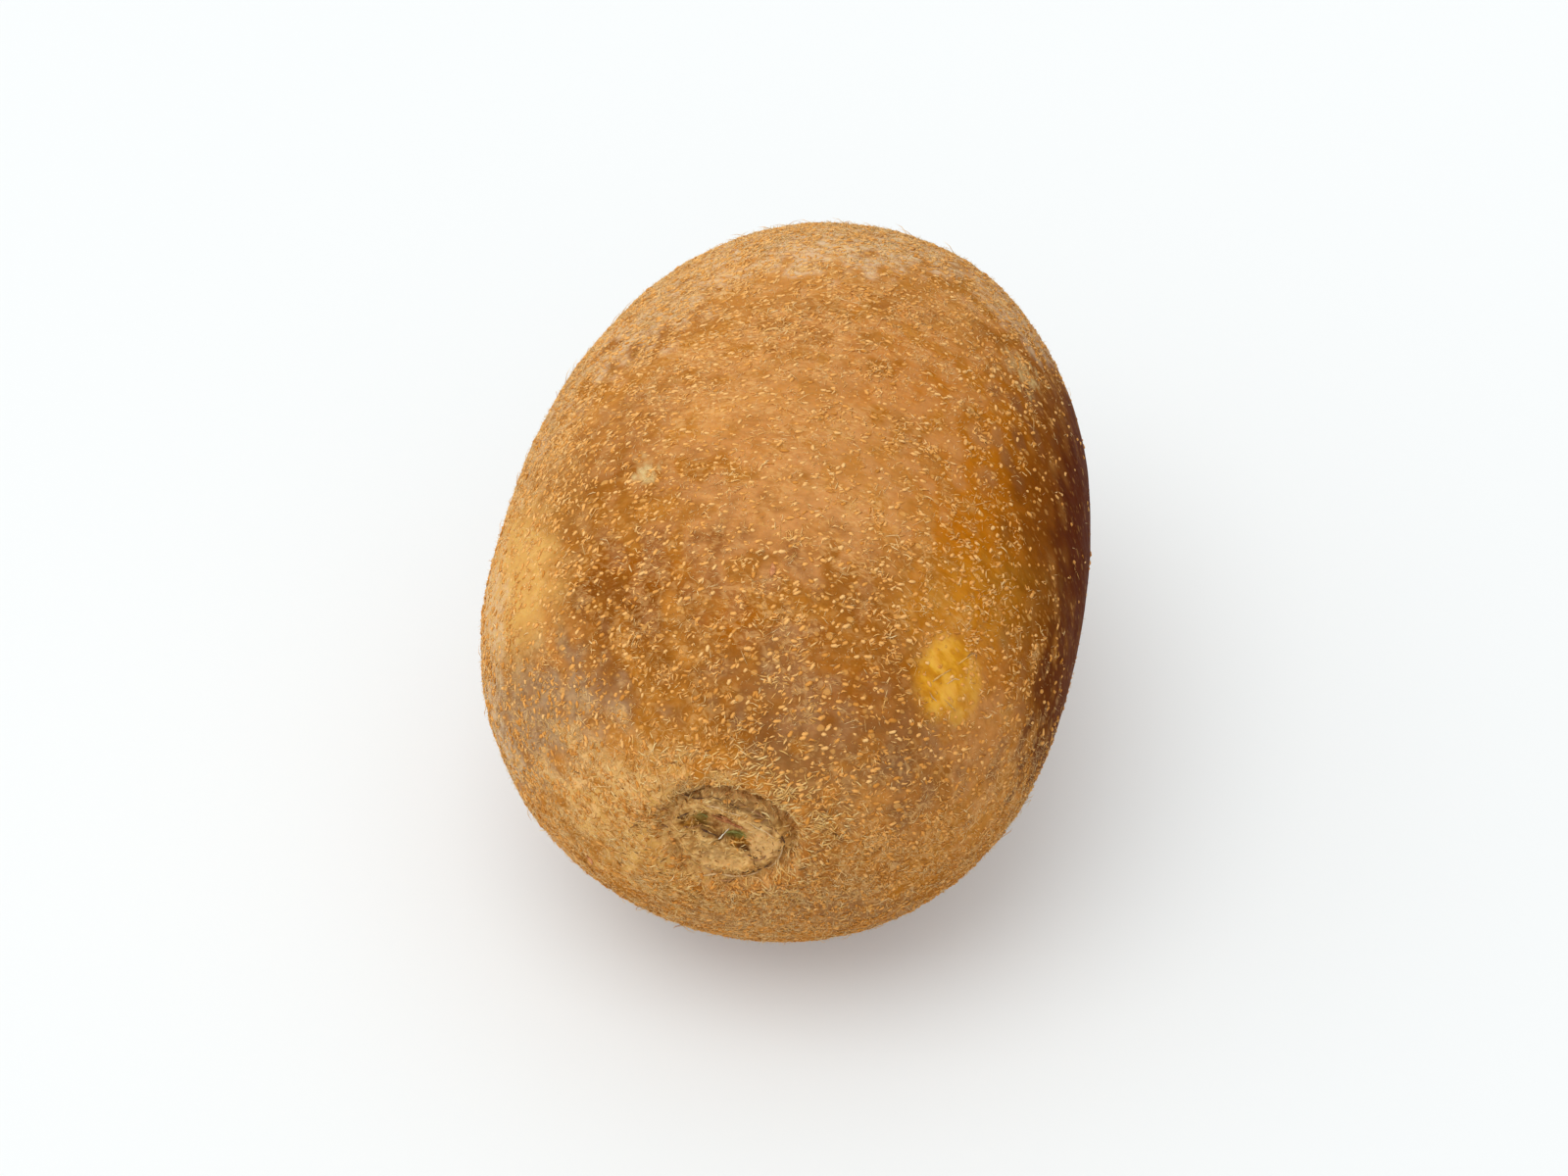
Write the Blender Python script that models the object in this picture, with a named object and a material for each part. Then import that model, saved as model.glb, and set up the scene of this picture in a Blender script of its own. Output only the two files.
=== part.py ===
"""A whole kiwi fruit, unpeeled, lying on its side.

The fruit grew as one piece, so it is one solid. Its long axis runs along Y, with the stem end at -Y and the
blossom end at +Y, and it rests on a small flat spot in the plane Z = 0. The origin is the middle of the
bounding box's underside.

The body is a sphere whose points are moved onto a blunt egg: a superellipse on each side of the widest
section, short towards the stem end and long towards the blossom end. The stem scar and the blossom nub are
raised on the two ends by formulas in the distance from the long axis.
"""

import math

import bmesh
import bpy
from mathutils import Vector

MM = 0.001

# Driving dimensions of the body
STEM_HALF = 24.5 * MM
BLOSSOM_HALF = 41.5 * MM
HALF_WIDTH = 24.5 * MM
HALF_THICKNESS = 23.5 * MM
STEM_BLUNTNESS = 2.36
BLOSSOM_BLUNTNESS = 2.45
LOBES = 3
LOBE_SHARE = 0.016
LOBE_TURN = math.radians(32.5)
SIDEWAYS_BEND = 0.14 * MM
UPWARD_BEND = 0.47 * MM
BEND_REACH = 30.0 * MM
FLAT_SPOT_DEPTH = 0.8 * MM

# Shallow swellings that run round and along the body: height, waves round, waves along, phase
SWELLINGS = (
    (0.16 * MM, 2, 1.0, 0.6),
    (0.12 * MM, 4, 2.0, 2.1),
    (0.09 * MM, 5, 3.0, 4.0),
)

# Stem scar: an oval disc in a sunken ring, with a torn pit where the stalk came away
SCAR_OVAL = 1.06
# How much the scar's rings wander in and out: share of the radius, waves round, phase
SCAR_WOBBLES = (
    (0.030, 2, 0.7),
    (0.022, 3, 2.4),
    (0.015, 5, 1.1),
)
COLLAR_RADIUS = 7.2 * MM
COLLAR_WIDTH = 1.3 * MM
COLLAR_HEIGHT = 0.40 * MM
BASIN_FLOOR_RADIUS = 4.5 * MM
BASIN_EDGE_RADIUS = 6.7 * MM
BASIN_DEPTH = 0.80 * MM
GROOVE_RADIUS = 5.1 * MM
GROOVE_WIDTH = 0.55 * MM
GROOVE_LEAST_DEPTH = 0.20 * MM
GROOVE_MOST_DEPTH = 0.95 * MM
GROOVE_TURN = math.radians(55.0)
LIP_RADIUS = 4.1 * MM
LIP_WIDTH = 0.55 * MM
LIP_HEIGHT = 0.35 * MM
PIT_X = -0.7 * MM
PIT_Z = 0.4 * MM
PIT_HALF_LENGTH = 2.6 * MM
PIT_HALF_WIDTH = 1.2 * MM
PIT_DEPTH = 1.5 * MM
PIT_TURN = math.radians(-21.0)
# The shares of the pit's half size where its floor ends and its rim begins
PIT_FLOOR_SHARE = 0.4
PIT_RIM_SHARE = 1.3

# Blossom end: the dried foot of the styles in a shallow dimple
DIMPLE_RADIUS = 3.8 * MM
DIMPLE_DEPTH = 0.50 * MM
NUB_RADIUS = 1.5 * MM
NUB_HEIGHT = 1.2 * MM
NUB_POINTS = 5
NUB_POINT_SHARE = 0.22

# Mesh fineness
SEGMENTS = 64
STEM_RING_STEP = 0.4 * MM
STEM_RINGS = 21
BODY_RINGS = 26
BLOSSOM_RING_STEP = 0.5 * MM
BLOSSOM_RINGS = 11

SKIN_COLOUR = (0.40, 0.19, 0.055, 1.0)
SKIN_ROUGHNESS = 0.5


def clear_scene():
    """Removes every object that the file opened with."""
    for obj in list(bpy.data.objects):
        bpy.data.objects.remove(obj)


def angle_at_radius(radius, bluntness):
    """The superellipse's parameter, from its pole, where it is this far from the long axis."""
    return math.asin((radius / HALF_WIDTH) ** (bluntness / 2))


def ring_angles():
    """The parameter of each ring of points, close together at both ends and even over the body."""
    stem = [
        angle_at_radius(ring * STEM_RING_STEP, STEM_BLUNTNESS)
        for ring in range(STEM_RINGS + 1)
    ]
    blossom = [
        math.pi - angle_at_radius(ring * BLOSSOM_RING_STEP, BLOSSOM_BLUNTNESS)
        for ring in range(BLOSSOM_RINGS, -1, -1)
    ]
    step = (blossom[0] - stem[-1]) / (BODY_RINGS + 1)
    body = [stem[-1] + step * ring for ring in range(1, BODY_RINGS + 1)]
    return stem + body + blossom


def bell(distance, centre, width):
    """A smooth bump of height 1 at centre that fades within about two widths."""
    return math.exp(-(((distance - centre) / width) ** 2))


def fade(value, start, end):
    """1 before start and 0 after end, with a smooth slope between them."""
    share = min(max((value - start) / (end - start), 0.0), 1.0)
    return 1 - share * share * (3 - 2 * share)


def scar_radius(x, z):
    """The distance from the stem scar's middle, stretched so that its uneven oval rings become circles."""
    turn = math.atan2(z, x)
    wander = sum(share * math.cos(waves * turn + phase) for share, waves, phase in SCAR_WOBBLES)
    return math.hypot(x / SCAR_OVAL, z * SCAR_OVAL) * (1 + wander)


def groove_depth(turn):
    """The sunken ring's depth at this turn: it is deepest at one place and fades on the far side."""
    share = (1 + math.cos(turn - GROOVE_TURN)) / 2
    return GROOVE_LEAST_DEPTH + (GROOVE_MOST_DEPTH - GROOVE_LEAST_DEPTH) * share


def stem_relief(x, z):
    """How far the stem end stands out along its axis, at x and z from that axis."""
    radius = scar_radius(x, z)
    height = COLLAR_HEIGHT * bell(radius, COLLAR_RADIUS, COLLAR_WIDTH)
    height -= BASIN_DEPTH * fade(radius, BASIN_FLOOR_RADIUS, BASIN_EDGE_RADIUS)
    height -= groove_depth(math.atan2(z, x)) * bell(radius, GROOVE_RADIUS, GROOVE_WIDTH)
    height += LIP_HEIGHT * bell(radius, LIP_RADIUS, LIP_WIDTH)
    along = (x - PIT_X) * math.cos(PIT_TURN) + (z - PIT_Z) * math.sin(PIT_TURN)
    across = (z - PIT_Z) * math.cos(PIT_TURN) - (x - PIT_X) * math.sin(PIT_TURN)
    pit = math.hypot(along / PIT_HALF_LENGTH, across / PIT_HALF_WIDTH)
    return height - PIT_DEPTH * fade(pit, PIT_FLOOR_SHARE, PIT_RIM_SHARE)


def blossom_relief(x, z):
    """How far the blossom end stands out along its axis, at x and z from that axis."""
    radius = math.hypot(x, z)
    points = 1 + NUB_POINT_SHARE * math.cos(NUB_POINTS * math.atan2(z, x))
    nub = NUB_HEIGHT * bell(radius, 0.0, NUB_RADIUS * points)
    return nub - DIMPLE_DEPTH * bell(radius, 0.0, DIMPLE_RADIUS)


def swelling(turn, angle):
    """The height of the shallow swellings at this place on the body, which vanish at the two ends."""
    height = sum(
        high * math.sin(around * turn + phase) * math.cos(along * angle + phase)
        for high, around, along, phase in SWELLINGS
    )
    return height * math.sin(angle) ** 2


def body_point(angle, turn):
    """The surface point at this parameter from the stem end and this turn about the long axis."""
    towards_stem = angle < math.pi / 2
    bluntness = STEM_BLUNTNESS if towards_stem else BLOSSOM_BLUNTNESS
    half = STEM_HALF if towards_stem else BLOSSOM_HALF
    reach = abs(math.sin(angle)) ** (2 / bluntness)
    along = half * math.copysign(abs(math.cos(angle)) ** (2 / bluntness), math.cos(angle))
    lobes = 1 + LOBE_SHARE * math.sin(angle) * math.cos(LOBES * (turn - LOBE_TURN))
    out = swelling(turn, angle)
    x = (HALF_WIDTH * reach * lobes + out) * math.cos(turn)
    z = (HALF_THICKNESS * reach * lobes + out) * math.sin(turn)
    if towards_stem:
        along += stem_relief(x, z)
    else:
        along -= blossom_relief(x, z)
    bend = (along / BEND_REACH) ** 2
    return Vector((x + SIDEWAYS_BEND * bend, -along, z + UPWARD_BEND * bend))


def shape_sphere(mesh):
    """Moves a unit sphere's points, ring by ring, onto the fruit's surface."""
    angles = ring_angles()
    for vertex in mesh.verts:
        ring = round(math.acos(max(-1.0, min(1.0, vertex.co.z))) / math.pi * (len(angles) - 1))
        turn = math.atan2(vertex.co.y, vertex.co.x)
        vertex.co = body_point(angles[ring], turn)


def seat_on_ground(mesh):
    """Centres the body over the origin and flattens its underside into the plane Z = 0."""
    low = Vector(min(v.co[axis] for v in mesh.verts) for axis in range(3))
    high = Vector(max(v.co[axis] for v in mesh.verts) for axis in range(3))
    middle = (low + high) / 2
    shift = Vector((-middle.x, -middle.y, -low.z - FLAT_SPOT_DEPTH))
    for vertex in mesh.verts:
        vertex.co += shift
        vertex.co.z = max(vertex.co.z, 0.0)


def skin_material():
    """The brown, slightly waxy skin."""
    material = bpy.data.materials.new("kiwi_skin")
    material.use_nodes = True
    shader = material.node_tree.nodes["Principled BSDF"]
    shader.inputs["Base Color"].default_value = SKIN_COLOUR
    shader.inputs["Roughness"].default_value = SKIN_ROUGHNESS
    shader.inputs["Metallic"].default_value = 0.0
    return material


def build_fruit(collection):
    """Makes the fruit as one named object in the collection."""
    shape = bmesh.new()
    bmesh.ops.create_uvsphere(
        shape,
        u_segments=SEGMENTS,
        v_segments=len(ring_angles()) - 1,
        radius=1.0,
    )
    shape_sphere(shape)
    seat_on_ground(shape)
    mesh = bpy.data.meshes.new("kiwi_fruit")
    shape.to_mesh(mesh)
    shape.free()
    mesh.shade_smooth()
    mesh.materials.append(skin_material())
    collection.objects.link(bpy.data.objects.new("kiwi_fruit", mesh))


def main():
    clear_scene()
    collection = bpy.data.collections.new("kiwi_fruit")
    bpy.context.scene.collection.children.link(collection)
    build_fruit(collection)


main()
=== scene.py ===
"""The looks of a whole kiwi fruit in a pale studio: its skin, its hairs, the stem scar and the blossom end.

Lengths are in metres, written as millimetres times MM. Places that end in _px, and those of marks and
strands, are pixels of the photograph, which the camera casts onto the skin.
"""

import logging
import math
from dataclasses import dataclass
from enum import Enum

import bpy
import numpy as np
from mathutils import Matrix, Vector


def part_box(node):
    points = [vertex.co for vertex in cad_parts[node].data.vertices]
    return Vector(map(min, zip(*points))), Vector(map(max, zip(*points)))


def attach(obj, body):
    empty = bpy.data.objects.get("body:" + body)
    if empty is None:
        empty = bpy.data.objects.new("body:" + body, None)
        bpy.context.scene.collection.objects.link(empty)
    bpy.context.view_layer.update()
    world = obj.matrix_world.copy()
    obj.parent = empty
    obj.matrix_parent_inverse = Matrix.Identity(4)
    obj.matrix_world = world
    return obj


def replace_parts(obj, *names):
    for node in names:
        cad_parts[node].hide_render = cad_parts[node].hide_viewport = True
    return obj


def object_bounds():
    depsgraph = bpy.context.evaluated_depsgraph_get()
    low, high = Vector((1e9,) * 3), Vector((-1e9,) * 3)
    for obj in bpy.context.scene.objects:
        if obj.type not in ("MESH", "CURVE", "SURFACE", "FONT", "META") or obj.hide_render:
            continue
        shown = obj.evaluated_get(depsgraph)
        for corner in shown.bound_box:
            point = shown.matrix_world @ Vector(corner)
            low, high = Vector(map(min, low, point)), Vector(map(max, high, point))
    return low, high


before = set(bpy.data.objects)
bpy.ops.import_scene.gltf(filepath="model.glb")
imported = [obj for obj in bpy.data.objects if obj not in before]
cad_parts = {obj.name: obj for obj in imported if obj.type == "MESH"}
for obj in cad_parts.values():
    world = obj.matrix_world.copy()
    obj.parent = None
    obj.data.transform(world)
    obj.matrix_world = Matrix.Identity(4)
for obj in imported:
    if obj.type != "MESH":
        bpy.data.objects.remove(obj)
CAD_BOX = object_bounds()

LOG = logging.getLogger("kiwi_fruit")
MM = 0.001
HALF_HEIGHT = CAD_BOX[1][2] / 2
NODE = "kiwi_fruit"
SLOT = "kiwi_skin"
BODY = "root"
BAKE_MAP = "OFBake"
SCAR_DISC = "scar_disc"
LEAST_LENGTH = 1e-12

Pair = tuple[float, float]
Triple = tuple[float, float, float]
Pixel = tuple[float, float]
Colour = tuple[float, float, float]
Stops = tuple[tuple[float, Colour], ...]
Socket = bpy.types.NodeSocket


def smooth_step(value: np.ndarray, start: float, end: float) -> np.ndarray:
    """Rises from 0 at start to 1 at end with flat ends: 3t^2 - 2t^3 of the share of the way, t.

    Args:
        value: The numbers to grade.
        start: Where the rise begins.
        end: Where the rise ends; it may be below start, for a fall.

    Returns:
        The graded numbers, from 0 to 1.
    """
    share = np.clip((value - start) / (end - start), 0.0, 1.0)
    return share * share * (3 - 2 * share)


def bell(distance: np.ndarray, centre: float, width: float) -> np.ndarray:
    """A bump of height 1: e to the minus square of the distance from centre in widths.

    Args:
        distance: Where the bump is read.
        centre: The place of its top.
        width: The distance over which it falls to 1/e.

    Returns:
        The bump's height, from 0 to 1.
    """
    return np.exp(-(((distance - centre) / width) ** 2))


def unit(vectors: np.ndarray) -> np.ndarray:
    """Each vector divided by its length."""
    return vectors / np.maximum(np.linalg.norm(vectors, axis=-1, keepdims=True), LEAST_LENGTH)


class WaveNoise:
    """A smooth random field in space: the sum of plane waves in seeded random directions."""

    # The shortest and the longest wave, in wavelengths
    length_spread: Pair = (0.6, 1.5)

    def __init__(self, seed: int, wavelength: float, waves: int = 26) -> None:
        """Draws the waves.

        Args:
            seed: The draw's seed.
            wavelength: The middle wavelength, in metres.
            waves: How many waves are summed.
        """
        draw = np.random.default_rng(seed)
        lengths = wavelength * draw.uniform(*self.length_spread, waves)
        self.vectors = unit(draw.normal(size=(waves, 3))) * (2 * math.pi / lengths)[:, None]
        self.phases = draw.uniform(0.0, 2 * math.pi, waves)

    def at(self, points: np.ndarray) -> np.ndarray:
        """Reads the field.

        Args:
            points: Places, as an array whose last axis is x, y, z.

        Returns:
            The field there, with a spread of about 1 each way.
        """
        waves = np.cos(points @ self.vectors.T + self.phases)
        return waves.sum(axis=-1) * math.sqrt(2 / len(self.phases))


@dataclass(frozen=True)
class StemScar:
    """The relief where the stalk came away: a collar, a sunken ring, a corky disc and a torn pit."""

    oval: float = 1.06
    # How much the rings wander in and out: share of the radius, waves round, phase
    wobbles: tuple[tuple[float, int, float], ...] = ((0.030, 2, 0.7), (0.022, 3, 2.4), (0.015, 5, 1.1))
    collar_radius: float = 7.2 * MM
    collar_width: float = 1.3 * MM
    collar_height: float = 0.40 * MM
    basin_floor_radius: float = 4.5 * MM
    basin_edge_radius: float = 6.7 * MM
    basin_depth: float = 0.80 * MM
    groove_radius: float = 5.1 * MM
    groove_width: float = 0.55 * MM
    groove_least_depth: float = 0.20 * MM
    groove_most_depth: float = 0.95 * MM
    groove_turn: float = math.radians(55.0)
    lip_radius: float = 4.1 * MM
    lip_width: float = 0.55 * MM
    lip_height: float = 0.35 * MM
    pit_x: float = -0.7 * MM
    pit_z: float = 0.4 * MM
    pit_half_length: float = 2.6 * MM
    pit_half_width: float = 1.2 * MM
    pit_depth: float = 1.5 * MM
    pit_turn: float = math.radians(-21.0)
    pit_floor_share: float = 0.4
    pit_rim_share: float = 1.3

    def radius(self, x: np.ndarray, z: np.ndarray) -> np.ndarray:
        """The distance from the scar's middle, stretched so that its uneven oval rings become circles.

        Args:
            x: Distance from the long axis along X.
            z: Distance from the long axis along Z.

        Returns:
            The root of (x/oval)^2 + (z oval)^2, times 1 plus a sum of cosines of the turn.
        """
        turn = np.arctan2(z, x)
        wander = sum(share * np.cos(waves * turn + phase) for share, waves, phase in self.wobbles)
        return np.hypot(x / self.oval, z * self.oval) * (1 + wander)

    def groove_share(self, x: np.ndarray, z: np.ndarray) -> np.ndarray:
        """How much of the sunken ring's full depth there is at this turn: half of 1 plus a cosine."""
        return (1 + np.cos(np.arctan2(z, x) - self.groove_turn)) / 2

    def pit_reach(self, x: np.ndarray, z: np.ndarray) -> np.ndarray:
        """The distance from the pit's middle in shares of its half size: the length of the turned offset.

        Args:
            x: Distance from the long axis along X.
            z: Distance from the long axis along Z.

        Returns:
            0 at the pit's middle and 1 on its outline.
        """
        cos, sin = math.cos(self.pit_turn), math.sin(self.pit_turn)
        along = (x - self.pit_x) * cos + (z - self.pit_z) * sin
        across = (z - self.pit_z) * cos - (x - self.pit_x) * sin
        return np.hypot(along / self.pit_half_length, across / self.pit_half_width)

    def height(self, x: np.ndarray, z: np.ndarray) -> np.ndarray:
        """How far the stem end stands out along its axis: bumps and steps in the scar's radius, less the pit.

        Args:
            x: Distance from the long axis along X.
            z: Distance from the long axis along Z.

        Returns:
            The height in metres, negative where it is sunken.
        """
        radius = self.radius(x, z)
        depth = self.groove_most_depth - self.groove_least_depth
        groove = self.groove_least_depth + depth * self.groove_share(x, z)
        height = self.collar_height * bell(radius, self.collar_radius, self.collar_width)
        height -= self.basin_depth * smooth_step(radius, self.basin_edge_radius, self.basin_floor_radius)
        height -= groove * bell(radius, self.groove_radius, self.groove_width)
        height += self.lip_height * bell(radius, self.lip_radius, self.lip_width)
        pit = smooth_step(self.pit_reach(x, z), self.pit_rim_share, self.pit_floor_share)
        return height - self.pit_depth * pit


@dataclass(frozen=True)
class BlossomNub:
    """The relief of the blossom end: a shallow dimple with a small pointed foot of dried styles."""

    dimple_radius: float = 3.8 * MM
    dimple_depth: float = 0.50 * MM
    nub_radius: float = 1.5 * MM
    nub_height: float = 1.2 * MM
    points: int = 5
    point_share: float = 0.22

    def height(self, x: np.ndarray, z: np.ndarray) -> np.ndarray:
        """How far the blossom end stands out along its axis: a star-shaped bump in a round dimple.

        Args:
            x: Distance from the long axis along X.
            z: Distance from the long axis along Z.

        Returns:
            The height in metres, negative where it is sunken.
        """
        radius = np.hypot(x, z)
        star = 1 + self.point_share * np.cos(self.points * np.arctan2(z, x))
        nub = self.nub_height * np.exp(-((radius / (self.nub_radius * star)) ** 2))
        return nub - self.dimple_depth * bell(radius, 0.0, self.dimple_radius)


@dataclass(frozen=True)
class BodyForm:
    """The fruit's body, as its solid has it: a blunt egg along Y with the stem end at -Y."""

    stem_half: float = 24.5 * MM
    blossom_half: float = 41.5 * MM
    half_width: float = 24.5 * MM
    half_thickness: float = 23.5 * MM
    stem_bluntness: float = 2.36
    blossom_bluntness: float = 2.45
    lobes: int = 3
    lobe_share: float = 0.016
    lobe_turn: float = math.radians(32.5)
    sideways_bend: float = 0.14 * MM
    upward_bend: float = 0.47 * MM
    bend_reach: float = 30.0 * MM
    # Shallow swellings round and along the body: height, waves round, waves along, phase
    swellings: tuple[tuple[float, int, float, float], ...] = (
        (0.16 * MM, 2, 1.0, 0.6),
        (0.12 * MM, 4, 2.0, 2.1),
        (0.09 * MM, 5, 3.0, 4.0),
    )
    scar: StemScar = StemScar()
    nub: BlossomNub = BlossomNub()

    def profile(self, angle: np.ndarray) -> tuple[np.ndarray, np.ndarray]:
        """The plain egg's outline: a superellipse on each side of the widest section.

        Args:
            angle: The superellipse's parameter, 0 at the stem pole and pi at the blossom pole.

        Returns:
            The share of the full width, sin^(2/n), and the distance towards the stem end, half cos^(2/n).
        """
        cos, sin = np.cos(angle), np.sin(angle)
        bluntness = np.where(cos > 0, self.stem_bluntness, self.blossom_bluntness)
        half = np.where(cos > 0, self.stem_half, self.blossom_half)
        reach = np.abs(sin) ** (2 / bluntness)
        return reach, half * np.sign(cos) * np.abs(cos) ** (2 / bluntness)

    def points(self, turn: np.ndarray, angle: np.ndarray) -> np.ndarray:
        """The surface, before it is seated on the ground.

        The outline is carried round the long axis, stretched to the width and thickness, with three faint
        lobes, shallow sine swellings, the relief of both ends, and a bend in proportion to the square of
        the distance from the widest section.

        Args:
            turn: The turn about the long axis, from +X towards +Z.
            angle: The outline's parameter.

        Returns:
            Points whose origin is the middle of the widest section.
        """
        reach, along = self.profile(angle)
        lobes = 1 + self.lobe_share * np.sin(angle) * np.cos(self.lobes * (turn - self.lobe_turn))
        swelling = sum(
            high * np.sin(around * turn + phase) * np.cos(ways * angle + phase)
            for high, around, ways, phase in self.swellings
        ) * np.sin(angle) ** 2
        x = (self.half_width * reach * lobes + swelling) * np.cos(turn)
        z = (self.half_thickness * reach * lobes + swelling) * np.sin(turn)
        along = along + np.where(along > 0, self.scar.height(x, z), -self.nub.height(x, z))
        bend = (along / self.bend_reach) ** 2
        return np.stack([x + self.sideways_bend * bend, -along, z + self.upward_bend * bend], axis=-1)


@dataclass(frozen=True)
class PhotoCamera:
    """The camera that took the photograph, which places the marks and the scene's own camera."""

    width_px: float = 1600.0
    height_px: float = 1200.0
    focal_px: float = 5162.0
    azimuth: float = math.radians(9.18)
    elevation: float = math.radians(40.45)
    distance: float = 717.0 * MM
    anchor_px: Pixel = (631.0, 877.7)

    def axes(self) -> np.ndarray:
        """The camera's right, up and back directions, as the rows of a matrix."""
        turn, lift = self.azimuth, self.elevation
        right = np.array([math.cos(turn), math.sin(turn), 0.0])
        back = np.array(
            [math.sin(turn) * math.cos(lift), -math.cos(turn) * math.cos(lift), math.sin(lift)]
        )
        return np.stack([right, np.cross(back, right), back])

    def ray(self, pixel: Pixel) -> np.ndarray:
        """The direction from the camera through a pixel: the pixel's offsets over the focal length.

        Args:
            pixel: The pixel's column and row in the photograph.

        Returns:
            A unit vector.
        """
        right, up, back = self.axes()
        across = (pixel[0] - self.width_px / 2) / self.focal_px
        down = (pixel[1] - self.height_px / 2) / self.focal_px
        return unit(right * across - up * down - back)

    def place(self, anchor: np.ndarray) -> np.ndarray:
        """Where the camera stands, so that the anchor shows at its pixel."""
        return anchor - self.distance * self.ray(self.anchor_px)

    def project(self, points: np.ndarray, anchor: np.ndarray) -> np.ndarray:
        """The pixels where points show, by division by their depth.

        Args:
            points: Places in space.
            anchor: The middle of the fruit's widest section.

        Returns:
            Columns and rows in the photograph.
        """
        right, up, back = self.axes()
        offset = points - self.place(anchor)
        depth = -(offset @ back)
        across = self.width_px / 2 + self.focal_px * (offset @ right) / depth
        down = self.height_px / 2 - self.focal_px * (offset @ up) / depth
        return np.stack([across, down], axis=-1)


def triangle_mesh(
    name: str,
    points: np.ndarray,
    triangles: np.ndarray,
    corner_map: np.ndarray,
    points_data: dict[str, np.ndarray] | None = None,
) -> bpy.types.Object:
    """Makes a smooth-shaded object at the origin from arrays.

    Args:
        name: The piece's name.
        points: Its points, one row each.
        triangles: Three point numbers in each row, turning left as seen from outside.
        corner_map: The place on the bake map of each triangle's three corners, one row each.
        points_data: Named numbers, one for each point, which a finish reads.

    Returns:
        The new object, linked to the scene.
    """
    mesh = bpy.data.meshes.new(name)
    mesh.vertices.add(len(points))
    mesh.loops.add(triangles.size)
    mesh.polygons.add(len(triangles))
    mesh.vertices.foreach_set("co", points.astype(np.float32).ravel())
    mesh.polygons.foreach_set("loop_start", np.arange(0, triangles.size, 3, dtype=np.int32))
    mesh.polygons.foreach_set("vertices", triangles.astype(np.int32).ravel())
    mesh.uv_layers.new(name=BAKE_MAP).uv.foreach_set("vector", corner_map.astype(np.float32).ravel())
    for key, values in (points_data or {}).items():
        mesh.attributes.new(key, "FLOAT", "POINT").data.foreach_set("value", values.astype(np.float32))
    mesh.update(calc_edges=True)
    mesh.validate()
    mesh.shade_smooth()
    piece = bpy.data.objects.new(name, mesh)
    bpy.context.scene.collection.objects.link(piece)
    return piece


def settle(piece: bpy.types.Object, material: bpy.types.Material) -> bpy.types.Object:
    """Gives a piece its material and the body that it rides on."""
    piece.data.materials.append(material)
    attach(piece, BODY)
    return piece


@dataclass(frozen=True)
class GridSpacing:
    """How finely the skin's grid is drawn, along the outline and round the body.

    The weights say how close together the rings are. Those of the ends count over their reach, and fade
    out at that many reaches.
    """

    segments: int = 352
    rings: int = 262
    body_weight: float = 1.0
    stem_weight: float = 4.4
    stem_reach: float = 8.8 * MM
    blossom_weight: float = 2.6
    blossom_reach: float = 5.5 * MM
    stem_fade: float = 1.5
    blossom_fade: float = 1.6
    samples: int = 6000


class Zone(Enum):
    """Where a layer of the skin's roughness is."""

    BODY = "all over"
    MATTED = "round both ends"
    DISC = "on the scar's disc"
    CREASE = "in the scar's sunken ring"
    SCAR = "on the disc and in the ring"


@dataclass(frozen=True)
class Roughness:
    """One layer of the skin's own unevenness, a random field of this height and wavelength."""

    zone: Zone
    height: float
    wavelength: float
    seed: int


SKIN_ROUGHNESS = (
    Roughness(Zone.BODY, 0.050 * MM, 12.0 * MM, 11),
    Roughness(Zone.BODY, 0.014 * MM, 4.2 * MM, 12),
    Roughness(Zone.MATTED, 0.050 * MM, 1.3 * MM, 13),
    Roughness(Zone.DISC, 0.080 * MM, 1.1 * MM, 14),
    Roughness(Zone.CREASE, 0.065 * MM, 0.9 * MM, 16),
    Roughness(Zone.SCAR, 0.035 * MM, 0.45 * MM, 15),
)


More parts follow.
